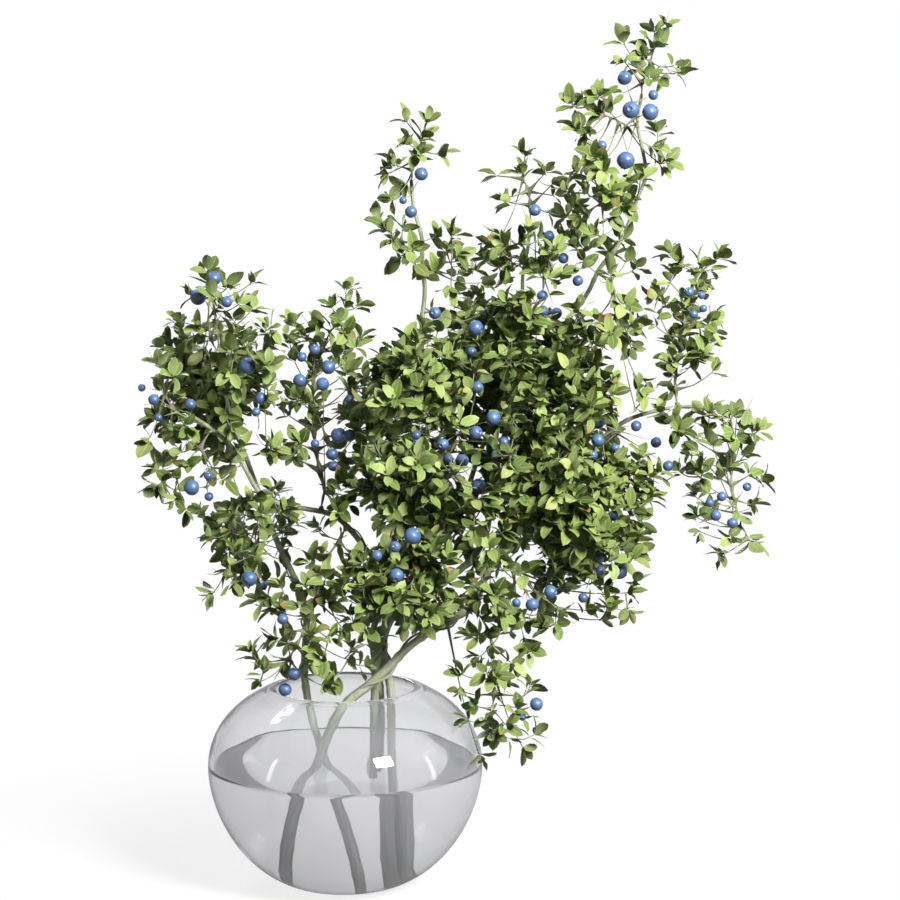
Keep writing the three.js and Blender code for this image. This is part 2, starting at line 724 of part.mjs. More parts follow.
      [356, 4, 434], [353, -12, 425], [330, -24, 408], [324, -20, 395], [358, 0, 397], [364, -10, 383],
      [336, -24, 378], [312, -10, 378], [320, -4, 366], [369, -12, 358], [320, -12, 349], [322, -20, 338],
      [336, -14, 326], [338, -10, 302], [340, 26, 372], [334, 22, 332],
    ],
  },
  shoot_front_trailing: {
    from: "stem_right_reaching",
    radius: [2, 0.8],
    spacing: 14,
    path: [
      [92, -22, 256], [106, -31, 261], [122, -38, 254], [132, -44, 234], [135, -47, 206], [134, -48, 180],
      [132, -48, 156],
    ],
    tufts: [
      [117, -60, 237], [124, -50, 222], [119, -40, 220], [111, -66, 213], [125, -70, 212],
      [108, -56, 198], [153, -52, 211], [148, -56, 194], [158, -50, 184], [113, -60, 183],
      [117, -70, 174], [113, -56, 162], [122, -60, 161], [140, -66, 166], [144, -50, 148],
      [154, -56, 151], [160, -50, 133], [124, -50, 130], [162, -24, 242],
    ],
  },
};

// Each berry is a place and a radius. The truss's axis leads from its bearer to the middle of them.
const TRUSSES = {
  truss_left_crown: {
    from: "stem_left_rear",
    path: [[-117, -2, 484], [-120, -9, 512], [-119, -11, 532]],
    berries: [[-125, -12, 538, 7.5], [-114, -14, 553, 6.5], [-123, -8, 563, 3], [-103, -12, 532, 5]],
  },
  truss_left_shoulder: {
    from: "stem_left_rear",
    berries: [[-83, -34, 477, 7.5], [-72, -30, 448, 5.5], [-76, -34, 436, 4]],
  },
  truss_left_outer: {
    from: "stem_left_arching",
    path: [[-126, -34, 424], [-146, -42, 438]],
    berries: [[-165, -44, 448, 5], [-171, -40, 457, 3.5], [-133, -44, 444, 5], [-160, -52, 433, 3.5]],
  },
  truss_left_low: {
    from: "stem_left_arching",
    berries: [[-131, -58, 372, 7], [-121, -62, 380, 4], [-130, -60, 358, 4], [-116, -58, 364, 4]],
  },
  truss_left_hanging: {
    from: "stem_left_arching",
    berries: [[-82, -52, 290, 7], [-92, -40, 278, 4.5], [-70, -44, 282, 3.5]],
  },
  truss_low_left: {
    from: "shoot_low_left",
    berries: [[-41, -78, 210, 6], [-44, -70, 200, 6], [-28, -76, 205, 6], [-51, -74, 258, 5]],
  },
  truss_middle_left: {
    from: "shoot_middle_left",
    path: [[-26, -12, 474], [-26, -22, 446], [-14, -26, 412]],
    berries: [
      [-36, -22, 484, 4.5], [-28, -30, 488, 5], [-15, -24, 479, 6.5], [-38, -22, 463, 6],
      [-17, -34, 461, 6], [6, -26, 447, 4], [-3, -38, 416, 7], [6, -20, 414, 5.5],
      [-24, -34, 408, 4], [-9, -36, 399, 5.5], [-8, -24, 385, 5],
    ],
  },
  truss_centre_low: {
    from: "stem_centre_tall",
    berries: [[63, -90, 334, 7.5], [52, -92, 330, 5], [32, -86, 316, 5], [49, -94, 300, 6.5]],
  },
  truss_right_hanging: {
    from: "stem_right_reaching",
    berries: [[168, -54, 267, 6], [178, -56, 276, 6], [160, -50, 272, 4], [170, -46, 280, 5]],
  },
  truss_front_trailing: {
    from: "shoot_front_trailing",
    berries: [[172, -56, 178, 6], [160, -46, 164, 3.5]],
  },
  truss_centre_crown: {
    from: "stem_centre_tall",
    berries: [[70, -14, 645, 6], [54, -16, 622, 3.5], [61, -18, 612, 5.5]],
  },
  truss_centre_upper: {
    from: "stem_centre_tall",
    berries: [
      [82, -26, 523, 5.5], [94, -24, 522, 6.5], [118, -28, 510, 7], [129, -20, 509, 5],
      [120, -26, 494, 4.5], [127, -14, 522, 4],
    ],
  },
  truss_right_centre: {
    from: "stem_centre_right",
    berries: [
      [171, 6, 613, 5.5], [184, 12, 590, 5], [197, 14, 570, 5], [178, 4, 537, 5], [178, 8, 525, 5.5],
      [188, 10, 518, 5.5], [210, 12, 550, 5],
    ],
  },
  truss_centre_mass: {
    from: "stem_centre_tall",
    path: [[78, -26, 414], [92, -44, 412], [112, -50, 424]],
    berries: [
      [119, -54, 460, 5.5], [133, -56, 433, 6.5], [118, -64, 421, 6], [106, -62, 396, 6],
      [95, -58, 398, 5], [143, -50, 411, 5], [136, -54, 400, 5], [120, -60, 374, 6.5],
      [66, -76, 420, 4], [69, -64, 412, 4.5], [89, -66, 411, 5.5],
    ],
  },
  truss_right_mass: {
    from: "stem_right_reaching",
    path: [[242, -4, 420], [244, -18, 416]],
    berries: [
      [227, -24, 426, 6], [240, -22, 428, 6], [226, -34, 411, 6], [222, -26, 397, 5],
      [243, -16, 402, 4], [262, -8, 421, 5], [280, -6, 406, 5], [291, -8, 385, 5],
    ],
  },
  truss_right_low: {
    from: "stem_right_reaching",
    berries: [
      [241, -22, 342, 5], [228, -38, 306, 4.5], [229, -34, 294, 4.5], [223, -44, 280, 5],
      [214, -36, 270, 4.5], [248, -14, 290, 7], [268, -8, 285, 4],
    ],
  },
  truss_far_right_upright: {
    from: "shoot_far_right_upright",
    berries: [[309, -4, 538, 4.5], [319, -8, 538, 3.5], [321, -6, 526, 3.5], [312, -10, 521, 4]],
  },
  truss_far_right_drooping: {
    from: "shoot_far_right_drooping",
    berries: [
      [338, -20, 359, 4.5], [329, -16, 354, 4], [336, -24, 347, 5], [361, -16, 367, 4],
      [348, -20, 335, 5], [365, -12, 327, 3.5],
    ],
  },
  truss_right_crown: {
    from: "stem_right_tall",
    path: [[260, -2, 688], [256, -12, 694], [256, -16, 708]],
    berries: [
      [249, -8, 729, 6.5], [252, -22, 701, 7.5], [271, -18, 699, 7.5], [274, -12, 714, 4.5],
      [250, -16, 657, 8], [239, -14, 643, 4], [229, -16, 670, 4.5],
    ],
  },
};

// ---- Growing them ----

// The axis of a shoot or truss: long stretches, with a short node at the end of each for twigs to leave from.
function growAxis(name, { from, radius, path }, { spacing, node }) {
  const bearer = bearers.get(from);
  const { start, direction } = budOn(bearer, vector(path[0]));
  const curve = new THREE.CatmullRomCurve3([start, ...path.map(vector)], false, "centripetal");
  const length = curve.getLength();
  const count = max(1, Math.round(length / spacing));
  const skin = new Skin(start, direction, radius[0]);
  const nodes = [];
  let face = skin.start;
  let last = start;
  for (let i = 1; i <= count; i++) {
    const share = (i / count) * (1 - node / length);
    const girth = THREE.MathUtils.lerp(...radius, share);
    const [low, high] = [share, share + node / length].map((at) => curve.getPointAt(at));
    const along = curve.getTangentAt(share);
    face = skin.push(face, skin.ring(face, low, along, girth)).end;
    const joint = skin.push(face, skin.ring(face, high, along, girth));
    face = joint.end;
    const tags = [`${name}/${i - 1}`, `${name}/${i}`, name];
    clearance.add(rodBox(last, high, max(girth, radius[0] - i)), i === 1 ? [...tags, from] : tags);
    nodes.push({ walls: pairs(joint.sides), along, at: high, tags: [`${name}/${i}`] });
    last = high;
  }
  bearers.set(name, { curve, radius });
  return { name, skin, nodes, face, direction: curve.getTangentAt(1), end: last };
}

function pairs(sides) {
  return [sides.slice(0, 2), sides.slice(2, 4), sides.slice(4, 6)];
}

// The node of an axis, with a wall still free, that suits a place best: near it, and facing it.
function bestNode(axis, target) {
  let best = { cost: Infinity };
  for (const node of axis.nodes) {
    for (const wall of node.walls) {
      const away = target.clone().sub(node.at);
      const distance = away.length();
      const facing = axis.skin.normal(wall[0]).dot(away.divideScalar(distance));
      const forward = node.along.dot(away);
      const cost = distance * (1.5 - 0.5 * facing) + (facing < 0.1 ? 60 : 0) - 6 * forward;
      if (cost < best.cost) best = { cost, node, wall };
    }
  }
  return best;
}

// The leaf that starts at a place, goes along a direction, and has its upper side towards up.
function leafAt(base, direction, up, length) {
  const side = up.clone().cross(direction).normalize();
  const rise = side.clone().cross(direction).negate().multiplyScalar(LEAF.fold * length);
  const waist = base.clone().addScaledVector(direction, 0.45 * length).add(rise);
  const half = (LEAF.width * length) / 2;
  const tip = base.clone().addScaledVector(direction, length);
  const middle = rise.clone().multiplyScalar(0.5);
  const [low, high] = [base, tip].map((end) => end.clone().add(middle));
  return {
    tip,
    left: waist.clone().addScaledVector(side, half),
    right: waist.clone().addScaledVector(side, -half),
    up: rise.normalize(),
    box: boxBetween(low, high, side, half + GAP, middle.length() + GAP),
  };
}

// Opens a bud into leaves: one round each wall of it, and one that carries straight on.
function openBud(skin, face, along, size, tags) {
  const at = skin.centre(face).addScaledVector(along, WHORL.bud);
  const bud = skin.push(face, skin.ring(face, at, along, WHORL.budRadius));
  const boxes = [];
  const tryLeaf = (from, direction, up) => {
    const length = size * around(LEAF.length, LEAF.spread);
    const leaf = leafAt(skin.centre(from), direction, up, length);
    if (!clearance.isFree(leaf.box, tags)) return;
    skin.leaf(from, leaf);
    boxes.push(leaf.box);
  };
  for (const wall of pairs(bud.sides)) {
    const lean = degrees(around(TWIG.lean, 14));
    const out = skin.normal(wall[0]).applyAxisAngle(along, degrees(around(0, 18)));
    const direction = along.clone().multiplyScalar(cos(lean)).addScaledVector(out, sin(lean));
    tryLeaf(wall[random() < 0.5 ? 0 : 1], direction.normalize(), along);
  }
  const tilt = new THREE.Vector3(around(0, 1), around(0, 1), around(0, 1));
  const direction = along.clone().addScaledVector(tilt, 0.3).normalize();
  tryLeaf(bud.end, direction, UP.clone().addScaledVector(tilt, 0.6));
  return boxes;
}

// Grows a twig from a wall of a node to a place, with a whorl of leaves at its end, if there is room.
function growTwig(axis, { node, wall }, target, size, fewest) {
  const { skin } = axis;
  const saved = skin.save();
  const face = wall[0];
  const from = skin.centre(face);
  const length = from.distanceTo(target);
  const middle = from.clone().lerp(target, 0.5);
  const bent = length > TWIG.straight;
  if (bent) middle.addScaledVector(UP, -0.12 * length);
  const along = target.clone().sub(middle).normalize().addScaledVector(UP, TWIG.lift).normalize();
  const twig = `${axis.name}/twig${skin.points.length}`;
  const rods = [rodBox(from, middle, TWIG.radius), rodBox(middle, target, TWIG.radius)];
  if (!rods.every((rod) => clearance.isFree(rod, node.tags))) return false;
  const first = middle.clone().sub(from).normalize();
  const half = bent ? skin.push(face, skin.ring(face, middle, first, TWIG.radius)).end : face;
  const tip = skin.push(half, skin.ring(half, target, along, TWIG.radius)).end;
  const boxes = openBud(skin, tip, along, size, [twig]);
  if (boxes.length < fewest) {
    skin.restore(saved);
    return false;
  }
  for (const box of [...rods, ...boxes]) clearance.add(box, [twig, ...node.tags]);
  node.walls = node.walls.filter((other) => other !== wall);
  return true;
}

// Tries a twig a few times, each time a little further from the place asked for and with smaller leaves.
function tryTwig(axis, target, fewest) {
  for (let attempt = 0; attempt < 14; attempt++) {
    const shift = new THREE.Vector3(around(0, 1), around(0, 1), around(0, 1)).multiplyScalar(1.2 * attempt);
    const place = target.clone().add(shift);
    const best = bestNode(axis, place);
    if (!best.node) return false;
    place.addScaledVector(best.node.at.clone().sub(place).normalize(), WHORL.reach);
    const wanted = attempt < 9 ? WHORL.leaves : fewest;
    if (growTwig(axis, best, place, 1 - 0.02 * attempt, wanted)) return true;
  }
  return false;
}

// Grows one leaf straight from a wall of a node.
function growLeaf({ skin }, node, wall, out) {
  const lean = degrees(around(64, 12));
  const direction = node.along.clone().multiplyScalar(cos(lean)).addScaledVector(out, sin(lean)).normalize();
  const leaf = leafAt(skin.centre(wall[0]), direction, node.along, around(LEAF.length, LEAF.spread));
  if (!clearance.isFree(leaf.box, node.tags)) return false;
  skin.leaf(wall[0], leaf);
  clearance.add(leaf.box, node.tags);
  node.walls = node.walls.filter((other) => other !== wall);
  return true;
}

// Fills in a shoot: each wall of each node that is still bare sends out a short twig or a leaf, if it can.
function fillShoot(axis) {
  for (const node of axis.nodes) {
    for (const wall of node.walls) {
      const twig = random() < SHOOT.twigs;
      for (let attempt = 0; attempt < 6; attempt++) {
        const out = axis.skin.normal(wall[0]).applyAxisAngle(node.along, degrees(around(0, 35)));
        if (!twig && growLeaf(axis, node, wall, out)) break;
        if (!twig) continue;
        const length = around(TWIG.length, TWIG.spread) * (1 - 0.08 * attempt);
        const place = node.at.clone().addScaledVector(out, length);
        place.addScaledVector(node.along, length * around(0.5, 0.4)).addScaledVector(UP, length * 0.2);
        if (growTwig(axis, { node, wall }, place, 1 - 0.04 * attempt, WHORL.leaves - 1)) break;
      }
    }
  }
}

// Grows a berry on its stalk from the node that suits it best. The last berry hangs from the axis's own end.
function growBerry(axis, place, radius) {
  const { skin } = axis;
  const bare = axis.nodes.some((node) => node.walls.length > 0);
  const { node, wall } = bare ? bestNode(axis, place) : { node: axis.nodes.at(-1), wall: [axis.face] };
  const from = skin.centre(wall[0]);
  const along = place.clone().sub(from).normalize();
  const neck = place.clone().addScaledVector(along, -0.795 * radius - TRUSS.pedicelRadius);
  const tag = `${axis.name}/berry${skin.points.length}`;
  const reach = radius + GAP;
  const ball = new OBB(place, new THREE.Vector3(reach, reach, reach));
  const stalk = rodBox(from, neck, TRUSS.pedicelRadius);
  if (!clearance.isFree(ball, []) || !clearance.isFree(stalk, node.tags)) return false;
  const end = skin.push(wall[0], skin.ring(wall[0], neck, along, TRUSS.pedicelRadius)).end;
  skin.berry(end, along, radius);
  clearance.add(ball, [tag]);
  clearance.add(stalk, [tag, ...node.tags]);
  node.walls = node.walls.filter((other) => other !== wall);
  return true;
}

// The way of a truss's axis that only leads to the middle of its berries.
function wayToBerries(bearer, places) {
  const middle = places.reduce((sum, place) => sum.add(place), new THREE.Vector3());
  middle.divideScalar(places.length);
  const { start } = budOn(bearer, middle);
  const bend = start.clone().lerp(middle, 0.4).addScaledVector(UP, 2);
  return [bend.toArray(), start.lerp(middle, 0.85).toArray()];
}

function growTruss(name, { from, path, berries }) {
  const places = berries.map((berry) => vector(berry));
  const way = path ?? wayToBerries(bearers.get(from), places);
  const radius = [TRUSS.radius, TRUSS.tipRadius];
  const length = vector(way[0]).distanceTo(vector(way.at(-1)));
  const spacing = max(2.5 * TRUSS.node, (length * 2.4) / berries.length);
  const axis = growAxis(name, { from, radius, path: way }, { spacing, node: TRUSS.node });
  berries.forEach((berry, i) => {
    for (let attempt = 0; attempt < 10; attempt++) {
      const place = places[i].clone();
      place.add(new THREE.Vector3(around(0, 1), around(0, 1), around(0, 1)).multiplyScalar(attempt * 0.8));
      if (growBerry(axis, place, berry[3])) break;
    }
  });
  return axis.skin.geometry();
}

// ---- Assembly ----

const MATERIALS = {
  glass: { color: "#eceef2", roughness: 0.03, transparent: true, opacity: 0.35 },
  water: { color: "#dfe3ea", roughness: 0.05, transparent: true, opacity: 0.35 },
  bark: { color: "#6f7a55", roughness: 0.7 },
  leaf: { color: "#6b8f3a", roughness: 0.5, flatShading: true },
  berry: { color: "#4f78b8", roughness: 0.45 },
};

const sprig = new THREE.Group();

function add(name, geometry, material) {
  const flat = geometry.index ? geometry.toNonIndexed() : geometry;
  flat.computeVertexNormals();
  const mesh = new THREE.Mesh(flat, new THREE.MeshStandardMaterial(MATERIALS[material]));
  mesh.name = name;
  sprig.add(mesh);
}

const stems = Object.entries(STEMS).map(([name, { radius, path }]) => {
  const curve = new THREE.CatmullRomCurve3(path.map(vector), false, "centripetal");
  return { name, curve, radius, steps: Math.round(curve.getLength() / STEM.step), sides: STEM.sides };
});
for (const stem of stems) {
  bearers.set(stem.name, stem);
  add(stem.name, tube(stem), "bark");
  for (let i = 0; i < stem.steps; i++) {
    const [from, to] = [i, i + 1].map((step) => stem.curve.getPointAt(step / stem.steps));
    clearance.add(rodBox(from, to, THREE.MathUtils.lerp(...stem.radius, i / stem.steps)), [stem.name]);
  }
}
add("glass_vase", vaseGeometry(), "glass");
add("water", waterGeometry(stems), "water");

const shoots = Object.entries(SHOOTS).map(([name, { from, radius, spacing, path, tufts }]) => {
  const girth = radius ?? [SHOOT.radius, SHOOT.tipRadius];
  const rhythm = { spacing: spacing ?? SHOOT.spacing, node: SHOOT.node };
  return { ...growAxis(name, { from, radius: girth, path }, rhythm), tufts };
});
Object.entries(TRUSSES).forEach(([name, truss], i) => {
  restart(i);
  add(name, growTruss(name, truss), "berry");
});

// The tips open first, then the twigs to the places asked for, and the rest fills in round them.
shoots.forEach((shoot, i) => {
  restart(i);
  const tags = [...shoot.nodes.at(-1).tags];
  const boxes = openBud(shoot.skin, shoot.face, shoot.direction, 1, tags);
  for (const box of boxes) clearance.add(box, tags);
});
for (const shoot of shoots) {
  for (const [x, y, z] of shoot.tufts) {
    restart(x + 1e3 * y + 1e6 * z); // one number for each place
    tryTwig(shoot, new THREE.Vector3(x, y, z), 2);
  }
}
shoots.forEach((shoot, i) => {
  restart(-1 - i);
  fillShoot(shoot);
  add(shoot.name, shoot.skin.geometry(), "leaf");
});

export default sprig;
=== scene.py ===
"""Blueberry branches in a round glass vase of water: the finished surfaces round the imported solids.

Metres, +Z up, -Y is the front. Every place comes from the frame: the wood, the leaves and the berries are
read back from the CAD skins and made again with fine surfaces, and more leaves are grown on the same twigs.
"""

import math

import bmesh
import bpy
import numpy as np
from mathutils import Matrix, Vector
from mathutils.kdtree import KDTree


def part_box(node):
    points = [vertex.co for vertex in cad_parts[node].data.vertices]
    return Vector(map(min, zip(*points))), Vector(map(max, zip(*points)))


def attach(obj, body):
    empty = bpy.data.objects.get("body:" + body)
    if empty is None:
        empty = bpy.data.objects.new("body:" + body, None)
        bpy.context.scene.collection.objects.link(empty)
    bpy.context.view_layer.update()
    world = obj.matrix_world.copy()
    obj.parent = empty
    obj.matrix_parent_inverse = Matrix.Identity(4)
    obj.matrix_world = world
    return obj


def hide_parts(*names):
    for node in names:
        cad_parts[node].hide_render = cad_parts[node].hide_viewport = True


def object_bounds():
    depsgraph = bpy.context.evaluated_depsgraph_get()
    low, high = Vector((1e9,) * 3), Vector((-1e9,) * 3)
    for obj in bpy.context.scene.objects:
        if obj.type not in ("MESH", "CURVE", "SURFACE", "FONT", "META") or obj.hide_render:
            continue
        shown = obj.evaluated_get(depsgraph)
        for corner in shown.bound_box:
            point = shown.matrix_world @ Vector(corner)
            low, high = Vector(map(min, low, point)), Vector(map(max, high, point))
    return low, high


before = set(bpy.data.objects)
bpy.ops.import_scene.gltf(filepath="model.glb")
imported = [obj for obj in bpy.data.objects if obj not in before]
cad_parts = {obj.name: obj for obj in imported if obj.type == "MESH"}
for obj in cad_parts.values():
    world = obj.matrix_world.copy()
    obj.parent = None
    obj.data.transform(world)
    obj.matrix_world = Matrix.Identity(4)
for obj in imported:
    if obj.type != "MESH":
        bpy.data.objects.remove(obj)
cad_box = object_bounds()

MM = 0.001
FULL_TURN = 6.28  # random turns are drawn up to this, in radians
STEM_NODES = [name for name in sorted(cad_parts) if name.startswith("stem_")]
SHOOT_NODES = [name for name in sorted(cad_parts) if name.startswith("shoot_")]
TRUSS_NODES = [name for name in sorted(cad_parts) if name.startswith("truss_")]

# ---- Small helpers ----


def unit(v):
    """v, or each row of v, made one long."""
    return v / np.maximum(np.linalg.norm(v, axis=-1, keepdims=True), 1e-12)


def square_to(v, axis):
    """v made square to axis, unit length."""
    return unit(v - axis * np.sum(v * axis, axis=-1, keepdims=True))


def any_square(axis):
    """Some direction square to axis, the same one each time."""
    side = np.array([1.0, 0, 0]) if abs(axis[2]) > 0.9 else np.array([0, 0, 1.0])
    return square_to(side, axis)


def mesh_object(name, points, faces, material, smooth=True):
    """An object of given points and faces. faces is a list of arrays, each of one kind of face."""
    mesh = bpy.data.meshes.new(name)
    counts = np.concatenate([np.full(len(f), f.shape[1]) for f in faces])
    corners = np.concatenate([f.ravel() for f in faces])
    mesh.vertices.add(len(points))
    mesh.vertices.foreach_set("co", np.asarray(points, np.float32).ravel())
    mesh.loops.add(len(corners))
    mesh.loops.foreach_set("vertex_index", corners.astype(np.int32))
    mesh.polygons.add(len(counts))
    starts = np.concatenate([[0], np.cumsum(counts)[:-1]])
    mesh.polygons.foreach_set("loop_start", starts.astype(np.int32))
    mesh.update(calc_edges=True)
    mesh.polygons.foreach_set("use_smooth", np.full(len(counts), smooth))
    mesh.materials.append(material)
    piece = bpy.data.objects.new(name, mesh)
    bpy.context.scene.collection.objects.link(piece)
    return piece


def put_attribute(piece, name, values):
    """One vector for each point of a piece, for its material to read."""
    made = piece.data.attributes.new(name, "FLOAT_VECTOR", "POINT")
    made.data.foreach_set("vector", np.asarray(values, np.float32).ravel())


def keep(piece, slot, *nodes):
    """Ties a piece to the body and hides the CAD nodes that it stands for. slot is not used."""
    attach(piece, "root")
    if nodes:
        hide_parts(*nodes)


# ---- Reading the frame ----

WELD = 0.01 * MM  # corners nearer than this are one
CAD_STEM_SIDES = 6


def welded(node):
    """A CAD node's corners, each once, and its faces as a list of triples."""
    mesh = bmesh.new()
    mesh.from_mesh(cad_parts[node].data)
    bmesh.ops.remove_doubles(mesh, verts=mesh.verts, dist=WELD)
    mesh.verts.index_update()
    points = np.array([v.co[:] for v in mesh.verts])
    faces = [tuple(v.index for v in f.verts) for f in mesh.faces]
    mesh.free()
    return points, faces


def neighbours(count, faces):
    """For each point, the points that it shares an edge with."""
    near = [set() for _ in range(count)]
    for a, b, c in faces:
        near[a] |= {b, c}
        near[b] |= {a, c}
        near[c] |= {a, b}
    return near


def rings_from(first, near):
    """The points in layers, each one edge further from the first."""
    layers, seen = [[first]], {first}
    while True:
        layer = sorted({n for p in layers[-1] for n in near[p]} - seen)
        if not layer:
            return layers
        seen |= set(layer)
        layers.append(layer)


def read_stem(node):
    """A stem's centre line and radii, from its foot up."""
    points, faces = welded(node)
    near = neighbours(len(points), faces)
    ends = [i for i in range(len(points)) if len(near[i]) == CAD_STEM_SIDES]
    ends = [i for i in ends if all(len(near[i] & near[j]) == 2 for j in near[i])]
    foot = min(ends, key=lambda i: points[i][2])
    layers = [layer for layer in rings_from(foot, near) if len(layer) == CAD_STEM_SIDES]
    centres = np.array([points[layer].mean(0) for layer in layers])
    radii = [np.linalg.norm(points[layer] - centre, axis=1).mean() for layer, centre in zip(layers, centres)]
    return centres, np.array(radii)


def read_profile(node):
    """A turned node's radii and heights in order, from the middle of its underside."""
    points, faces = welded(node)
    near = neighbours(len(points), faces)
    away = np.hypot(points[:, 0], points[:, 1])
    foot = min(np.flatnonzero(away < WELD).tolist(), key=lambda i: points[i][2])
    return np.array([[away[layer].mean(), points[layer, 2].mean()] for layer in rings_from(foot, near)])


WAIST = 0.45  # where along a CAD leaf its two side corners are


def read_shoot(node):
    """A leafy skin taken apart: its leaves, its twigs without them, and the corners it starts from."""
    points, faces = welded(node)
    near = neighbours(len(points), faces)
    # A leaf's tip is the only corner with three neighbours: two at the leaf's waist, and the keel. The leaf
    # stands on a face of the twig whose corners are the keel and two more.
    tips = [i for i in range(len(points)) if len(near[i]) == 3]
    leaves, picked, scars = [], set(), []
    for tip in tips:
        keel = max(near[tip], key=lambda i: np.linalg.norm(points[i] - points[tip]))
        left, right = sorted(near[tip] - {keel})
        base = [keel, *sorted((near[left] | near[right]) - {tip, keel, left, right})]
        waist = points[keel] + WAIST * (points[tip] - points[keel])
        leaves.append([points[base].mean(0), points[tip], (points[left] + points[right]) / 2 - waist])
        picked |= {tip, left, right}
        scars.append(tuple(base))
    start = [i for i in range(len(points)) if len(near[i]) == 4 and i not in picked]
    caps = [f for f in faces if set(f) <= set(start)]
    twig_faces = [f for f in faces if not set(f) & picked] + scars
    return np.array(leaves), drop_loose(points, twig_faces), points[list(caps[0])]


def drop_loose(points, faces):
    """Only the points that the faces use."""
    used = sorted({i for f in faces for i in f})
    new = {old: i for i, old in enumerate(used)}
    return points[used], [tuple(new[i] for i in f) for f in faces]


def read_truss(node):
    """A truss taken apart: each berry's middle, radius and the way it hangs, the stalks, and the start."""
    points, faces = welded(node)
    near = neighbours(len(points), faces)
    # The corners of the balls have an odd number of neighbours, and those of the stalks an even one.
    odd = {i for i in range(len(points)) if len(near[i]) % 2}
    berries, necks, left = [], [], set(odd)
    while left:
        group, edge = set(), {min(left)}
        while edge:
            group |= edge
            edge = {n for i in edge for n in near[i] & odd} - group
        left -= group
        ball = points[sorted(group)]
        middle = ball.mean(0)  # its twelve corners are evenly spread
        radius = np.linalg.norm(ball - middle, axis=1).mean()
        collar = [i for i in group if len(near[i]) == 7]
        stalk = unit(points[collar].mean(0) - middle)
        berries.append([*middle, radius, *-stalk])
        necks.append(tuple(sorted({n for i in collar for n in near[i]} - group)))
    stalk_faces = [f for f in faces if not set(f) & odd] + necks
    even = [i for i in range(len(points)) if len(near[i]) == 4]
    caps = [f for f in faces if set(f) <= set(even)]
    return np.array(berries), drop_loose(points, stalk_faces), points[list(caps[0])]


# ---- Tubes ----


def smooth_path(points, substeps):
    """A Catmull-Rom curve through the points. Works on radii too."""
    p = np.asarray(points, float)
    p = np.concatenate([[2 * p[0] - p[1]], p, [2 * p[-1] - p[-2]]])
    t = np.arange(substeps)[:, None] / substeps
    out = []
    for a, b, c, d in zip(p, p[1:], p[2:], p[3:]):
        out.append(b + 0.5 * t * (c - a + t * (2 * a - 5 * b + 4 * c - d + t * (3 * (b - c) + d - a))))
    return np.concatenate([*out, [p[-2]]])


def ring_faces(rings, sides):
    """Faces through a stack of rings of points. The middles of the two ends come after the last ring."""
    here = np.arange(sides)
    after = np.roll(here, -1)
    base = (np.arange(rings - 1) * sides)[:, None]
    quads = np.stack([base + here, base + after, base + sides + after, base + sides + here], -1)
    top, first_middle = (rings - 1) * sides, rings * sides
    foot_cap = np.stack([after, here, np.full(sides, first_middle)], -1)
    top_cap = np.stack([top + here, top + after, np.full(sides, first_middle + 1)], -1)
    return quads.reshape(-1, 4), np.concatenate([foot_cap, top_cap])


def tube(path, radii, sides, lobe=None):
    """Points and faces of a closed tube along a path. lobe gives each point's share of the radius."""
    path = np.asarray(path, float)
    tangents = unit(np.gradient(path, axis=0))
    u = any_square(tangents[0])
    angle = np.arange(sides) * 2 * math.pi / sides
    rings = []
    for k, (point, along, radius) in enumerate(zip(path, tangents, radii)):
        u = square_to(u, along)
        share = radius if lobe is None else radius * lobe(k, angle)[:, None]
        out = np.cos(angle)[:, None] * u + np.sin(angle)[:, None] * np.cross(along, u)
        rings.append(point + share * out)
    return np.concatenate([*rings, path[:1], path[-1:]]), *ring_faces(len(path), sides)


class Gathered:
    """Closed shells gathered into one mesh, with one vector for each point."""

    def __init__(self):
        self.points, self.quads, self.triangles, self.marks, self.count = [], [], [], [], 0

    def add(self, points, quads, triangles, mark=(0, 0, 0)):
        self.quads.append(np.asarray(quads, int).reshape(-1, 4) + self.count)
        self.triangles.append(np.asarray(triangles, int).reshape(-1, 3) + self.count)
        self.points.append(points)
        self.marks.append(np.broadcast_to(mark, (len(points), 3)))
        self.count += len(points)

    def add_tube(self, path, radii, sides):
        self.add(*tube(path, radii, sides))

    def piece(self, name, material, mark_name):
        faces = [np.concatenate(self.quads), np.concatenate(self.triangles)]
        made = mesh_object(name, np.concatenate(self.points), [f for f in faces if len(f)], material)
        put_attribute(made, mark_name, np.concatenate(self.marks))
        return made


# ---- Materials ----


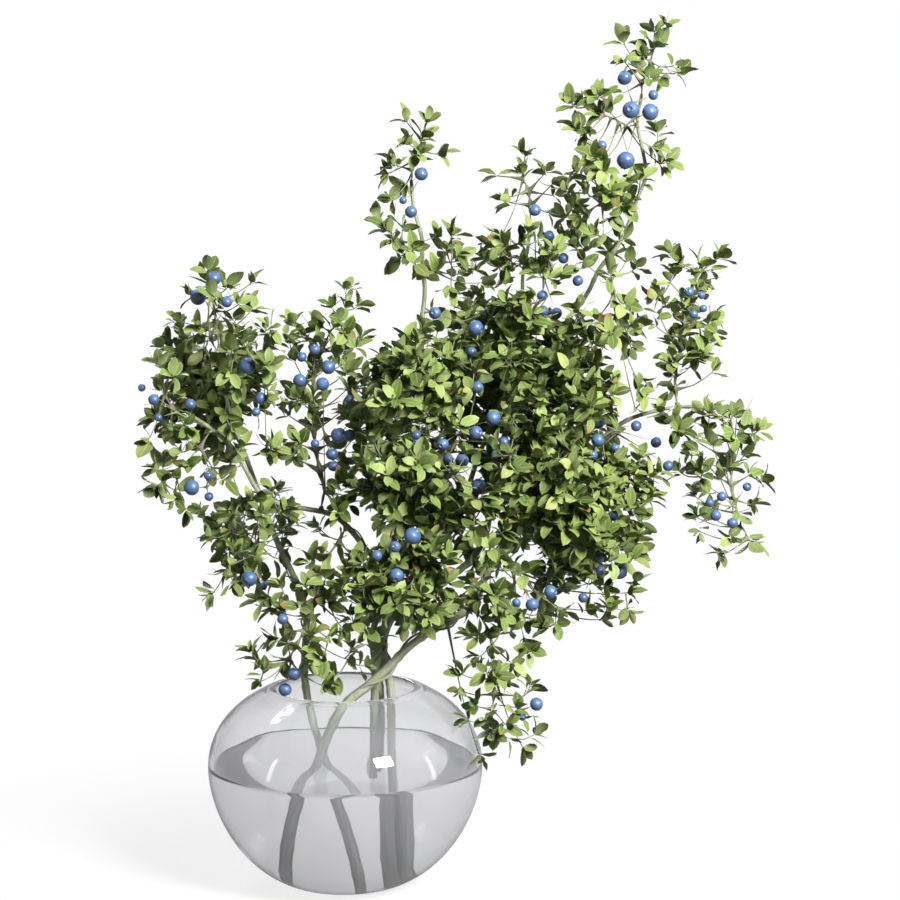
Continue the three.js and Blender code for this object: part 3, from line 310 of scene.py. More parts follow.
class Graph:
    """A node material, with short names for what the materials below use."""

    def __init__(self, name):
        self.material = bpy.data.materials.new(name)
        self.material.use_nodes = True
        self.tree = self.material.node_tree
        self.tree.nodes.clear()
        self.output = self.tree.nodes.new("ShaderNodeOutputMaterial")

    def node(self, kind, inputs=(), **settings):
        made = self.tree.nodes.new("ShaderNode" + kind)
        for key, value in settings.items():
            setattr(made, key, value)
        for key, value in dict(inputs).items():
            socket = made.inputs[key]
            if isinstance(value, bpy.types.NodeSocket):
                self.tree.links.new(value, socket)
            else:
                socket.default_value = value
        return made

    def vector(self, attribute):
        """The three numbers of a point attribute."""
        made = self.node("Attribute", attribute_name=attribute)
        return tuple(self.node("SeparateXYZ", {0: made.outputs["Vector"]}).outputs)

    def height(self):
        """Height above the ground, in metres."""
        return self.node("SeparateXYZ", {0: self.node("TexCoord").outputs["Object"]}).outputs[2]

    def math(self, operation, *values):
        return self.node("Math", dict(enumerate(values)), operation=operation).outputs[0]

    def span(self, value, low, high, to_low=0.0, to_high=1.0):
        """value between low and high, eased, as a number between to_low and to_high."""
        inputs = {0: value, 1: low, 2: high, 3: to_low, 4: to_high}
        return self.node("MapRange", inputs, interpolation_type="SMOOTHSTEP").outputs[0]

    def noise(self, scale, detail):
        place = self.node("TexCoord").outputs["Object"]
        return self.node("TexNoise", {"Vector": place, "Scale": scale, "Detail": detail}).outputs["Fac"]

    def blend(self, share, low, high):
        """A colour that goes from low to high with share."""
        made = self.node("Mix", data_type="RGBA")
        for key, value in ((0, share), (6, low), (7, high)):
            if isinstance(value, bpy.types.NodeSocket):
                self.tree.links.new(value, made.inputs[key])
            else:
                made.inputs[key].default_value = value if key == 0 else (*value, 1.0)
        return made.outputs[2]

    def bump(self, height, distance, strength):
        return self.node("Bump", {"Height": height, "Distance": distance, "Strength": strength}).outputs[0]

    def surface(self, made):
        self.tree.links.new(made.outputs[0], self.output.inputs["Surface"])

    def mixed(self, share, low, high):
        """The surface as a mix of two shader nodes."""
        self.surface(self.node("MixShader", {0: share, 1: low.outputs[0], 2: high.outputs[0]}))


YOUNG_BLADE, OLD_BLADE = (0.48, 0.57, 0.20), (0.13, 0.22, 0.045)
BLADE_BLOTCH, BLADE_CLOUD, BLADE_EDGE = (0.31, 0.39, 0.12), (0.17, 0.33, 0.035), (0.56, 0.60, 0.30)
BLADE_SHADE, BLADE_UNDER = (0.035, 0.065, 0.011), (0.27, 0.34, 0.15)
RIB, RED_EDGE, LEAF_STALK = (0.55, 0.62, 0.25), (0.42, 0.16, 0.07), (0.20, 0.24, 0.08)
SUN_THROUGH = (0.40, 0.52, 0.06)
SUN_THROUGH_SHARE = 0.09
VEIN_BEAT, VEIN_SLANT = 30.0, 0.16  # side veins along a blade, and how far they lean towards its tip


def blade_veins(g, along, off_rib):
    """1 on the side veins of a leaf and 0 between them. They leave the midrib slanting towards the tip."""
    slant = g.math("SUBTRACT", along, g.math("MULTIPLY", off_rib, VEIN_SLANT))
    wave = g.math("ABSOLUTE", g.math("SINE", g.math("MULTIPLY", slant, VEIN_BEAT)))
    return g.span(wave, 0.0, 0.22, 1.0, 0.0)


def blade_green(g, age, shade, off_rib, blotch):
    """The green of a blade by its age: blotched, fresher in clouds of its own, paler at its edges."""
    green = g.blend(age, YOUNG_BLADE, OLD_BLADE)
    green = g.blend(g.span(blotch, 0.35, 0.7, 0.0, 0.3), green, BLADE_BLOTCH)
    cloud = g.noise(75.0, 1.0)
    green = g.blend(g.span(cloud, 0.42, 0.62, 0.0, 0.45), green, BLADE_CLOUD)
    green = g.blend(g.span(off_rib, 0.45, 1.0, 0.0, 0.40), green, BLADE_EDGE)
    dark = g.math("MULTIPLY", g.math("MULTIPLY", shade, shade), 0.95)
    return g.blend(dark, green, BLADE_SHADE)


def leaf_material():
    """Satin leaves: yellow-green to deep green by age, a pale midrib and veins, some with red tips."""
    g = Graph("leaf")
    along, across, side = g.vector("leaf_place")
    age, redness, shade = g.vector("leaf_kind")
    off_rib = g.math("ABSOLUTE", across)
    blotch = g.noise(140.0, 2.0)
    green = blade_green(g, age, shade, off_rib, blotch)
    rib = g.span(off_rib, 0.02, 0.10, 0.55, 0.0)
    green = g.blend(rib, green, RIB)
    veins = blade_veins(g, along, off_rib)
    green = g.blend(g.math("MULTIPLY", veins, 0.28), green, RIB)
    under = g.span(side, -0.1, -0.6)
    green = g.blend(g.math("MULTIPLY", under, 0.6), green, BLADE_UNDER)
    edge = g.math("MAXIMUM", g.span(along, 0.55, 1.0), g.span(off_rib, 0.72, 1.0, 0.0, 0.8))
    green = g.blend(g.math("MULTIPLY", edge, redness), green, RED_EDGE)
    green = g.blend(g.span(along, 0.10, 0.05), green, LEAF_STALK)
    blade = g.node("BsdfPrincipled", {
        "Base Color": green,
        "Roughness": g.span(blotch, 0.2, 0.8, 0.32, 0.50),
        "Normal": g.bump(g.math("ADD", veins, g.math("MULTIPLY", rib, 2.0)), -0.12 * MM, 0.6),
        "Specular IOR Level": 0.2,
    })
    thin = g.node("BsdfTranslucent", {"Color": g.blend(0.5, green, SUN_THROUGH)})
    g.mixed(SUN_THROUGH_SHARE, blade, thin)
    return g.material


OLD_BARK = (0.31, 0.36, 0.19), (0.38, 0.38, 0.29)  # its green and its grey
YOUNG_BARK = (0.22, 0.25, 0.11), (0.20, 0.19, 0.13)
BARK_SPECK, BARK_STREAK, CUT_WOOD = (0.085, 0.08, 0.05), (0.36, 0.36, 0.26), (0.55, 0.48, 0.30)
# The grey of a painted haze that stands in for the glass and water over the wood inside the vase.
PAINTED_VASE_HAZE = (0.29, 0.29, 0.30)


def bark_material(name, colours):
    """Olive-green bark with grey-brown patches and lengthwise ridges, greyed inside the vase by a painted
    haze that stands in for the glass and water.
    """
    g = Graph(name)
    _, round_it, cut = g.vector("wood")
    patch = g.noise(60.0, 4.0)
    fine = g.noise(600.0, 3.0)
    colour = g.blend(g.span(patch, 0.4, 0.62), *colours)
    colour = g.blend(g.span(fine, 0.45, 0.75, 0.0, 0.5), colour, BARK_SPECK)
    beat = g.math("ADD", g.math("MULTIPLY", round_it, 9.0), g.math("MULTIPLY", patch, 7.0))
    streak = g.math("SINE", beat)
    colour = g.blend(g.span(streak, 0.2, 1.0, 0.0, 0.35), colour, BARK_STREAK)
    colour = g.blend(cut, colour, CUT_WOOD)
    # Painted haze: from the rim down to the water the bark is blended to grey, standing in for the veil that
    # the glass and water lay over it.
    colour = g.blend(g.span(g.height(), water_level, rim_height, 0.8, 0.0), colour, PAINTED_VASE_HAZE)
    relief = g.math("ADD", g.math("MULTIPLY", streak, 0.5), fine)
    g.surface(g.node("BsdfPrincipled", {
        "Base Color": colour,
        "Roughness": g.span(fine, 0.3, 0.7, 0.42, 0.62),
        "Normal": g.bump(relief, 0.3 * MM, 0.7),
    }))
    return g.material


NAVY_SKIN, PURPLE_SKIN, BLOOM = (0.011, 0.024, 0.085), (0.022, 0.020, 0.065), (0.105, 0.198, 0.40)
CROWN_BROWN, STALK_SPOT = (0.06, 0.05, 0.07), (0.10, 0.12, 0.06)


def berry_material():
    """Navy skin under a pale blue bloom that is thin in places and rubbed off in others, with painted shade:
    the bloom thins towards the underside.
    """
    g = Graph("berry")
    hang, ripe, seed = g.vector("berry")
    patch = g.noise(170.0, 3.0)
    fine = g.noise(1500.0, 2.0)
    bloom_and_painted_shade = g.span(g.math("ADD", patch, g.math("MULTIPLY", seed, 0.25)), 0.28, 0.62, 0.55, 1.0)
    bloom_and_painted_shade = g.math("MULTIPLY", bloom_and_painted_shade, g.span(fine, 0.2, 0.6, 0.85, 1.0))
    # Painted light and shade: the bloom is thickest on top and thins below, so each berry is pale on top and
    # navy underneath whatever the lamps do.
    facing_up_for_painted_shade = g.node("SeparateXYZ", {0: g.node("NewGeometry").outputs["Normal"]}).outputs[2]
    bloom_and_painted_shade = g.math("MULTIPLY", bloom_and_painted_shade, g.span(facing_up_for_painted_shade, -0.7, 0.7, 0.45, 1.0))
    colour = g.blend(bloom_and_painted_shade, g.blend(ripe, NAVY_SKIN, PURPLE_SKIN), BLOOM)
    # The crown at the free end is darker and browner, and so is the spot round the stalk.
    colour = g.blend(g.math("MULTIPLY", g.span(hang, 0.86, 0.97), 0.7), colour, CROWN_BROWN)
    colour = g.blend(g.span(hang, -0.95, -0.99), colour, STALK_SPOT)
    g.surface(g.node("BsdfPrincipled", {
        "Base Color": colour,
        "Roughness": g.span(bloom_and_painted_shade, 0.5, 1.0, 0.30, 0.45),
        "Normal": g.bump(g.math("ADD", patch, g.math("MULTIPLY", fine, 0.2)), 0.2 * MM, 0.35),
        "Specular IOR Level": 0.8,
    }))
    return g.material


FROSTED_UP_TO = 1.5 * MM  # the foot is ground where it stands
FROST = 0.6
EDGE_VEIL = 0.45  # share of milk where glass is seen edge on
MILK = (0.80, 0.80, 0.85, 1)


def clear_material(name, ior, veil, murk, density):
    """A clear body under a thin milky veil, that swallows some of the light that passes through it."""
    g = Graph(name)
    clear = g.node("BsdfPrincipled", {
        "Base Color": (1, 1, 1, 1),
        "Roughness": g.span(g.height(), FROSTED_UP_TO / 2, FROSTED_UP_TO, FROST, 0.0),
        "IOR": ior,
        "Transmission Weight": 1.0,
    })
    g.surface(clear)
    if veil:
        slant = g.node("LayerWeight", {"Blend": 0.5}).outputs["Facing"]
        g.mixed(g.span(slant, 0.7, 1.0, veil, EDGE_VEIL), clear, g.node("BsdfDiffuse", {"Color": MILK}))
    inside = g.node("VolumeAbsorption", {"Color": (*murk, 1.0), "Density": density})
    g.tree.links.new(inside.outputs[0], g.output.inputs["Volume"])
    return g.material


# ---- The vase and its water ----

ROUND_SEGMENTS = 160
CURVE_STEPS = 6  # points of a fine curve for each one of the frame's
RIM_STEPS = 8
WATER_OVERLAP = 0.3 * MM  # water runs this far into the glass, so that no film of air is left between them
MENISCUS = 1.2 * MM  # how far the water climbs at the wall
MENISCUS_REACH = 1.6 * MM


def lathe(name, profile, material):
    """A closed body turned about Z. The profile runs from the axis to the axis."""
    angle = np.arange(ROUND_SEGMENTS) * 2 * math.pi / ROUND_SEGMENTS
    ring = np.stack([np.cos(angle), np.sin(angle)], -1)
    rings = [np.concatenate([r * ring, np.full((ROUND_SEGMENTS, 1), z)], -1) for r, z in profile[1:-1]]
    points = np.concatenate([*rings, [[0, 0, profile[0][1]], [0, 0, profile[-1][1]]]])
    return mesh_object(name, points, ring_faces(len(rings), ROUND_SEGMENTS), material)


def rounded_rim(outer, inner, height):
    """Half a circle from the outside of the wall over its top to the inside."""
    half = (outer - inner) / 2
    turns = np.linspace(0, math.pi, RIM_STEPS)[1:-1]
    middle = np.array([(outer + inner) / 2, height - half])
    return middle + half * np.stack([np.cos(turns), np.sin(turns)], -1)


def make_vase():
    """The bowl with a rounded rim. Returns its inside curve, from the rim down."""
    rim = rounded_rim(outside[-1, 0], inside[0, 0], rim_height)
    below = rim_height - (outside[-1, 0] - inside[0, 0]) / 2
    outer, inner = smooth_path(outside, CURVE_STEPS), smooth_path(inside, CURVE_STEPS)
    outer, inner = outer[outer[:, 1] < below], inner[inner[:, 1] < below]
    bowl = np.concatenate([[[0, 0]], outer, rim, inner, [[0, glass_floor]]])
    vase = lathe("glass_bowl", bowl, clear_material("glass", 1.5, 0.10, (0.55, 0.55, 0.59), 26.0))
    keep(vase, "glass", "glass_vase")
    return inner


def make_water(wall):
    """The water inside a wall that is given from the rim down, higher where it meets the wall."""
    rising = wall[::-1]
    wet = rising[rising[:, 1] < water_level - 2 * MM]
    edge = np.interp(water_level, rising[:, 1], rising[:, 0])
    away = np.array([0.8, 1.8, 3.5, 7.0]) * MM
    meniscus = np.stack([edge - away, water_level - MENISCUS * (1 - np.exp(-away / MENISCUS_REACH))], -1)
    body = np.concatenate([
        [[0, glass_floor - WATER_OVERLAP]],
        wet + [WATER_OVERLAP, 0],
        [[edge + WATER_OVERLAP, water_level]],
        meniscus,
        [[0, water_level - MENISCUS]],
    ])
    water = lathe("still_water", body, clear_material("water", 1.333, 0.0, (0.5, 0.49, 0.58), 1.1))
    keep(water, "water", "water")


profile = read_profile("glass_vase")
rim_ring = int(np.argmax(profile[:, 1]))  # the last outside ring: the first inside one is just as high
outside, inside = profile[1:rim_ring + 1], profile[rim_ring + 1:-1]
rim_height, glass_floor = outside[-1, 1], profile[-1, 1]
water_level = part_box("water")[1].z
make_water(make_vase())

# ---- Stems ----

STEM_SIDES = 18
RIDGES = 5
WOOD_OVER = 1.06  # the wood is this much thicker than the frame's, whose sides are flat
BUD_GAPS = (18, 34)  # from one old bud to the next, in millimetres
BUD_SWELLING, BUD_LENGTH = 0.16, 2.2 * MM
TWINER_SIDES = 8
TWINER_GIRTH = 0.42  # as a share of the stem that it winds round
TWINER_REACH = 1.55  # from the middle of that stem, as a share of its radius
bark = bark_material("bark", OLD_BARK)
twig_bark = bark_material("young_bark", YOUNG_BARK)
wood_lines = {}


def own_twiners(own):
    """Where thin side stems wind round a stem: from one height to another, and how many times round."""
    low = own.uniform(172, 186) * MM  # about the rim
    middle = low + own.uniform(70, 95) * MM
    lower = (low, middle, own.uniform(1.3, 1.9))
    return lower, (middle - 30 * MM, middle + 75 * MM, own.uniform(-1.8, -1.2))


def twined(line, radius, turns, start):
    """A path that winds round a line. Both its ends are inside the wood of the line."""
    share = np.linspace(0, 1, len(line))
    away = radius * np.minimum(TWINER_REACH, 9 * np.minimum(share, 1 - share))
    tangents = unit(np.gradient(line, axis=0))
    u = any_square(tangents[0])
    path = []
    for point, along, turn, reach in zip(line, tangents, start + 2 * math.pi * turns * share, away):
        u = square_to(u, along)
        path.append(point + reach * (math.cos(turn) * u + math.sin(turn) * np.cross(along, u)))
    return np.array(path)


def wood_marks(length, sides, cut):
    """For each point of a tube: how far along and round it is, and whether it is the wood's cut end."""
    angle = np.tile(np.arange(sides) * 2 * math.pi / sides, len(length))
    marks = np.stack([np.repeat(length, sides), angle, np.zeros(len(angle))], -1)
    return np.concatenate([marks, [[0, 0, cut], [length[-1], 0, 0]]])


def ridged(length, own):
    """The outline of wood, place by place: slightly twisted ridges, and a swelling at each old bud."""
    buds = np.cumsum(own.uniform(*BUD_GAPS, 60)) * MM
    swelling = 1 + BUD_SWELLING * np.exp(-(((length[:, None] - buds) / BUD_LENGTH) ** 2)).sum(1)
    twist = own.uniform(9, 16)
    start = own.uniform(0, FULL_TURN)

    def lobe(k, angle):
        turned = RIDGES * (angle + start + twist * length[k])
        return swelling[k] * (0.96 + 0.055 * np.sin(turned) + 0.03 * np.sin(2.3 * angle + 40 * length[k]))

    return lobe


def make_stem(node, seed):
    """A stem as ridged wood, with the thin side stems that wind round it above the rim."""
    own = np.random.RandomState(seed)
    centres, radii = read_stem(node)
    path, radius = smooth_path(centres, CURVE_STEPS), smooth_path(radii[:, None], CURVE_STEPS)[:, 0]
    length = np.concatenate([[0], np.cumsum(np.linalg.norm(np.diff(path, axis=0), axis=1))])
    wood_lines[node] = path
    gathered = Gathered()
    wood = tube(path, radius[:, None] * WOOD_OVER, STEM_SIDES, ridged(length, own))
    gathered.add(*wood, wood_marks(length, STEM_SIDES, cut=1))
    for low, high, turns in own_twiners(own):
        part = (path[:, 2] > low) & (path[:, 2] < high)
        side_stem = twined(path[part], radius[part], turns, own.uniform(0, FULL_TURN))
        thin = TWINER_GIRTH * radius[part][:, None] * np.linspace(1, 0.6, part.sum())[:, None]
        marks = wood_marks(length[part], TWINER_SIDES, cut=0)
        gathered.add(*tube(side_stem, thin, TWINER_SIDES), marks)
    keep(gathered.piece("wood_" + node[5:], bark, "wood"), "bark", node)


for number, node in enumerate(STEM_NODES):
    make_stem(node, 100 + number)

# ---- Leaves ----

# A leaf's surface as rows from its stalk to its tip, and columns from edge to edge.
ROWS = (0.08, 0.22, 0.42, 0.64, 0.85)
FINE_COLUMNS = (-1, -0.5, 0, 0.5, 1)
PLAIN_COLUMNS = (-1, 0, 1)
LEAF_THICKNESS = 0.22 * MM
STALK_SHARE, STALK_WIDTH = 0.08, 0.09  # of a leaf's length, and of its blade's width
WIDTH_SHARES, CAD_WIDTH_SHARES = (0.46, 0.60), (0.50, 0.62)  # a leaf's width as a share of its length


def leaf_template(columns):
    """Places (along, across, side) of a leaf's points and its faces: an upper and a lower surface that meet
    all round the edge."""
    place = [(0, 0, 0)]
    upper, lower = {}, {}
    for i, row in enumerate(ROWS):
        for j, column in enumerate(columns):
            at_edge = abs(column) == 1
            upper[i, j] = lower[i, j] = len(place)
            place.append((row, column, 0 if at_edge else 1))
            if not at_edge:
                lower[i, j] = len(place)
                place.append((row, column, -1))
    tip = len(place)
    place.append((1, 0, 0))
    quads, triangles = [], []
    last = len(ROWS) - 1
    for j in range(len(columns) - 1):
        triangles += [(0, upper[0, j + 1], upper[0, j]), (0, lower[0, j], lower[0, j + 1])]
        triangles += [(tip, upper[last, j], upper[last, j + 1]), (tip, lower[last, j + 1], lower[last, j])]
        for i in range(last):
            quads.append((upper[i, j], upper[i, j + 1], upper[i + 1, j + 1], upper[i + 1, j]))
            quads.append((lower[i, j], lower[i + 1, j], lower[i + 1, j + 1], lower[i, j + 1]))
    return np.array(place, float), np.array(quads), np.array(triangles)


FINE_LEAF = leaf_template(FINE_COLUMNS)
PLAIN_LEAF = leaf_template(PLAIN_COLUMNS)


def blade_width(along):
    """Half the width of a leaf, as a share of its widest: an egg-shaped, pointed blade on a thin stalk."""
    t = np.clip((along - STALK_SHARE) / (1 - STALK_SHARE), 0, 1)
    blade = 2.46 * t ** 0.58 * (1 - t) ** 0.74  # 1 where it is widest
    on_stalk = along < STALK_SHARE + 1e-6
    return np.where(on_stalk, STALK_WIDTH, np.clip(blade, 0, 1)) * (along > 0) * (along < 1)


def curled(place, length, share, own):
    """How far a leaf's points are to its side and above it: folded, wavy, twisted, arched and bowed."""
    count = len(length)
    along, across, side = place.T
    half = share[:, None] * length / 2 * blade_width(along)
    fold = own.uniform(0.05, 0.28, (count, 1))
    arch = own.uniform(0.02, 0.13, (count, 1))
    bow = own.normal(0, 0.035, (count, 1))
    twist = own.normal(0, 0.45, (count, 1))
    wave = own.uniform(0.0, 0.035, (count, 1))
    phase = own.uniform(0, FULL_TURN, (count, 1))
    beats = own.uniform(1.2, 2.6, (count, 1))
    y = across * half
    z = fold * np.abs(y) * (0.55 + 0.45 * np.abs(across))
    z = z + wave * length * np.sin(2 * math.pi * beats * along + phase + 1.7 * across) * across**2
    z = z + side * LEAF_THICKNESS / 2 * np.sqrt(np.clip(blade_width(along), 0.05, 1))
    turn = twist * (along - 0.3)
    y, z = y * np.cos(turn) - z * np.sin(turn), y * np.sin(turn) + z * np.cos(turn)
    z = z + arch * length * 4 * along * (1 - along)
    y = y + bow * length * 4 * along * (1 - along)
    return y, z


def grow_leaves(gathered, leaves, template, own):
    """Adds leaves to a mesh. A leaf is its base, tip, upward side, width share, age, redness and shade."""
    base, tip, up, share = leaves[:, 0:3], leaves[:, 3:6], leaves[:, 6:9], leaves[:, 9]
    place, leaf_quads, leaf_triangles = template
    length = np.linalg.norm(tip - base, axis=1)[:, None]
    d = unit(tip - base)
    n = square_to(up, d)
    s = np.cross(n, d)
    y, z = curled(place, length, share, own)
    points = (
        base[:, None]
        + d[:, None] * (place[:, 0] * length)[..., None]
        + s[:, None] * y[..., None]
        + n[:, None] * z[..., None]
    )
    shift = (np.arange(len(leaves)) * len(place))[:, None, None]
    gathered.add(
        points.reshape(-1, 3),
        (leaf_quads[None] + shift).reshape(-1, 4),
        (leaf_triangles[None] + shift).reshape(-1, 3),
        np.repeat(leaves[:, 10:13], len(place), axis=0),
    )
    return np.tile(place, (len(leaves), 1))


def leaf_piece(name, fine, plain, material, own):
    """All the leaves of a shoot as one object."""
    gathered = Gathered()
    place = np.concatenate([
        grow_leaves(gathered, np.array(rows), template, own)
        for rows, template in ((fine, FINE_LEAF), (plain, PLAIN_LEAF)) if len(rows)
    ])
    piece = gathered.piece(name, material, "leaf_kind")
    put_attribute(piece, "leaf_place", place)
    # The edge between the two surfaces is sharp, so that each is shaded as the sheet it is.
    ends = np.zeros(len(piece.data.edges) * 2, np.int32)
    piece.data.edges.foreach_get("vertices", ends)
    rim_point = place[:, 2] == 0
    sharp = piece.data.attributes.new("sharp_edge", "BOOLEAN", "EDGE")
    sharp.data.foreach_set("value", rim_point[ends.reshape(-1, 2)].all(1))
    return piece


def rotated(v, axis, angle):
    """v turned about a unit axis."""
    return (
        v * math.cos(angle)
        + np.cross(axis, v) * math.sin(angle)
        + axis * np.dot(axis, v) * (1 - math.cos(angle))
    )


SKY = np.array([0, 0, 1.0])
TO_FRONT = unit(np.array([0, -1.0, 0.1]))
SIGHT = 90 * MM  # how far before a berry its view is kept clear of added leaves
BERRY_MARGIN = 1.5 * MM


def leaf_kind(own, age=None):
    """How old, how red and how dark a leaf is, each from 0 to 1."""
    old = own.beta(1.6, 1.6) if age is None else age
    red = own.normal(-0.25, 0.5) if own.rand() < 0.5 else 0.0
    return old, min(max(red, 0.0), 0.9), own.rand()


def leaf_row(base, direction, facing, length, own, age=None):
    """One leaf as numbers: base, tip, upward side, width share, age, redness and shade."""
    direction = unit(direction)
    facing = square_to(facing + own.normal(0, 0.18, 3), direction)
    return [*base, *(base + direction * length), *facing, own.uniform(*WIDTH_SHARES), *leaf_kind(own, age)]


# Kinds of whorl: how many leaves, how far they lean out in degrees, and their lengths in millimetres.
TUFT_HEART, THICK_SKIRT, OPEN_SKIRT = (2, 24, (8, 14)), (2, 70, (14, 19)), (1, 70, (14, 19))
SPUR_LEAVES, SPUR_HEART, SPUR_SKIRT = (4, 52, (13, 20)), (1, 18, (9, 14)), (2, 78, (14, 20))
YOUNG = (0, 0.3)  # the ages of a whorl's heart


def whorl(centre, axis, kind, own, start, age=None):
    """Leaves that lean out round an axis, their upper sides towards its tip and the sky."""
    count, lean, lengths = kind
    u = any_square(axis)
    rows = []
    for k in range(count):
        out = rotated(u, axis, start + 2 * math.pi * (k + own.uniform(-0.22, 0.22)) / count)
        tilt = math.radians(own.normal(lean, 9))
        direction = axis * math.cos(tilt) + out * math.sin(tilt)
        facing = axis * math.sin(tilt) - out * math.cos(tilt) + 0.55 * SKY
        length = own.uniform(*lengths) * MM
        rows.append(leaf_row(centre + out * 0.5 * MM, direction, facing, length, own, age))
    return rows


def tufts_of(bases):
    """Groups of leaves whose bases are within TUFT_REACH of each other, directly or through others."""
    tree = point_tree(bases)
    left, groups = set(range(len(bases))), []
    while left:
        group, edge = set(), {min(left)}
        while edge:
            group |= edge
            edge = {i for e in edge for _, i, _ in tree.find_range(Vector(bases[e]), TUFT_REACH)} - group
        left -= group
        groups.append(sorted(group))
    return groups


def swell(piece, by):
    """Pushes a skin out and rounds it off."""
    mesh = bmesh.new()
    mesh.from_mesh(piece.data)
    bmesh.ops.recalc_face_normals(mesh, faces=mesh.faces)
    mesh.normal_update()
    for corner in mesh.verts:
        corner.co += corner.normal * by
    mesh.to_mesh(piece.data)
    mesh.free()
    rounding = piece.modifiers.new("rounding", "SUBSURF")
    rounding.levels = rounding.render_levels = 1


# ---- Shoots ----

# Shoots that stand free are airy and have no spurs, those at the edge have some, and the rest many.
AIRY = {"centre_crown", "centre_upper_left", "centre_upper_right", "centre_upper_back", "right_centre_crown",
        "right_crown", "left_crown", "left_outer", "left_low_outer"}
OPEN = {"far_right_drooping", "far_right_upright", "front_trailing", "left_shoulder", "left_front_low",
        "left_low_back", "middle_left", "low_left", "right_centre_upper", "right_middle", "right_middle_low",
        "right_hanging", "right_upper"}
OPEN_SPACING, THICK_SPACING = 19 * MM, 10.5 * MM  # from one tuft to the next where spurs grow
OPEN_REACH, THICK_REACH = 12 * MM, 22 * MM  # spurs end no further than this from a leaf of the frame
SPUR_TRIES = 200
SPUR_LENGTHS, SPUR_RADII, SPUR_SIDES = (9, 26), (0.75, 0.45), 5  # lengths and radii in millimetres
HAIR_LENGTHS, HAIR_RADII, HAIR_SIDES = (10, 24), (0.34, 0.12), 4
HAIRS = 6  # at most, for each shoot
JOIN_WIDTHS, JOIN_DEPTH, JOIN_SIDES = (1.3, 1.0, 0.7), 2 * MM, 8
SPUR_ROOM = 7 * MM  # tufts end a leaf's length further out, and hardly pass the frame's own
BOWL_ROOM, BERRY_ROOM = 20 * MM, 4 * MM  # tufts keep this clear of the vase and of berries
HAIR_ROOM = 5 * MM  # hairs keep this clear of the vase
SKIRT_DROP = 4 * MM  # from a tuft down to its lowest leaves
TUFT_REACH = 3.4 * MM  # leaves that stand this near each other are one tuft
TWIG_BELOW = (2.5 * MM, 14 * MM)  # a tuft's axis comes from the twig's points this far from it
PAIRED_LEAVES, PAIR_ANGLES = (12, 19), (0.8, 1.3)  # millimetres, and radians from the leaf between them
TWIG_OVER, STALK_OVER = 0.1 * MM, 0.15 * MM  # how far the frame's twigs and stalks are pushed out


def inside_bowl(point, room):
    """True if a point is in the vase or within room of it."""
    if point[2] > rim_height + room:
        return False
    return math.hypot(point[0], point[1]) < np.interp(point[2], outside[:, 1], outside[:, 0]) + room


def has_room(point):
    """True if a point is inside the box of the frame, by SPUR_ROOM or more."""
    low, high = np.array(cad_box)
    return bool((point > low + SPUR_ROOM).all() and (point < high - SPUR_ROOM).all())


def join(gathered, start, wood):
    """A short tube from the wood that bears a shoot into the ring of corners that the shoot starts with."""
    centre = start.mean(0)
    root = wood[np.argmin(np.linalg.norm(wood - centre, axis=1))]
    out = unit(centre - root)
    width = np.linalg.norm(start[0] - centre)
    gathered.add_tube([root, centre, centre + out * JOIN_DEPTH], np.array(JOIN_WIDTHS) * width, JOIN_SIDES)


def grow_hairs(twig_points, own, twigs):
    """Hair-thin bare twigs that arch out and up from between the leaves."""
    for _ in range(HAIRS):
        start = twig_points[own.randint(len(twig_points))]
        out = unit(own.normal(0, 1, 3) * [1, 0.6, 0.35])
        reach = own.uniform(*HAIR_LENGTHS) * MM
        bend, end = start + reach * (0.5 * out + 0.18 * SKY), start + reach * (0.85 * out + 0.6 * SKY)
        if not inside_bowl(end, HAIR_ROOM) and has_room(end):
            path = smooth_path([start, bend, end], 5)
            twigs.add_tube(path, np.linspace(*HAIR_RADII, len(path)) * MM, HAIR_SIDES)


def point_tree(points):
    """A tree that finds the nearest of these points."""
    tree = KDTree(len(points))
    for i, point in enumerate(points):
        tree.insert(Vector(point), i)
    tree.balance()
    return tree


def is_free(end, leaf_tree, spacing, longest):
    """True if a spur may end here: near a leaf of the shoot, clear of the vase, other tufts and berries."""
    if leaf_tree.find(Vector(end))[2] > longest or inside_bowl(end, BOWL_ROOM) or not has_room(end):
        return False
    if any(np.dot(end - other, end - other) < spacing ** 2 for other in tuft_places):
        return False
    return not any(np.linalg.norm(end - ball[:3]) < ball[3] + BERRY_ROOM for ball in all_berries)


def grow_spurs(twig_points, leaf_middles, thick, own, twigs, fine, plain):
    """Short side twigs with tufts of their own, wherever the shoot has room for them."""
    spacing, longest = (THICK_SPACING, THICK_REACH) if thick else (OPEN_SPACING, OPEN_REACH)
    leaf_tree = point_tree(leaf_middles)
    for _ in range(SPUR_TRIES):
        start = twig_points[own.randint(len(twig_points))]
        out = unit(own.normal(0, 1, 3) + 0.35 * SKY)
        end = start + out * own.uniform(*SPUR_LENGTHS) * MM
        if not is_free(end, leaf_tree, spacing, longest):
            continue
        tuft_places.append(end)
        bend = start + (end - start) * 0.55 - SKY * 0.12 * np.linalg.norm(end - start)
        path = smooth_path([start, bend, end], 2)
        twigs.add_tube(path, np.linspace(*SPUR_RADII, len(path)) * MM, SPUR_SIDES)
        axis = unit(unit(end - bend) + 0.3 * SKY)
        turn = own.uniform(0, FULL_TURN)
        fine += whorl(end, axis, SPUR_LEAVES, own, turn)
        plain += whorl(end + axis * 0.5 * MM, axis, SPUR_HEART, own, turn, own.uniform(*YOUNG))
        plain += whorl(end - axis * SKIRT_DROP, axis, SPUR_SKIRT, own, turn + 0.7)


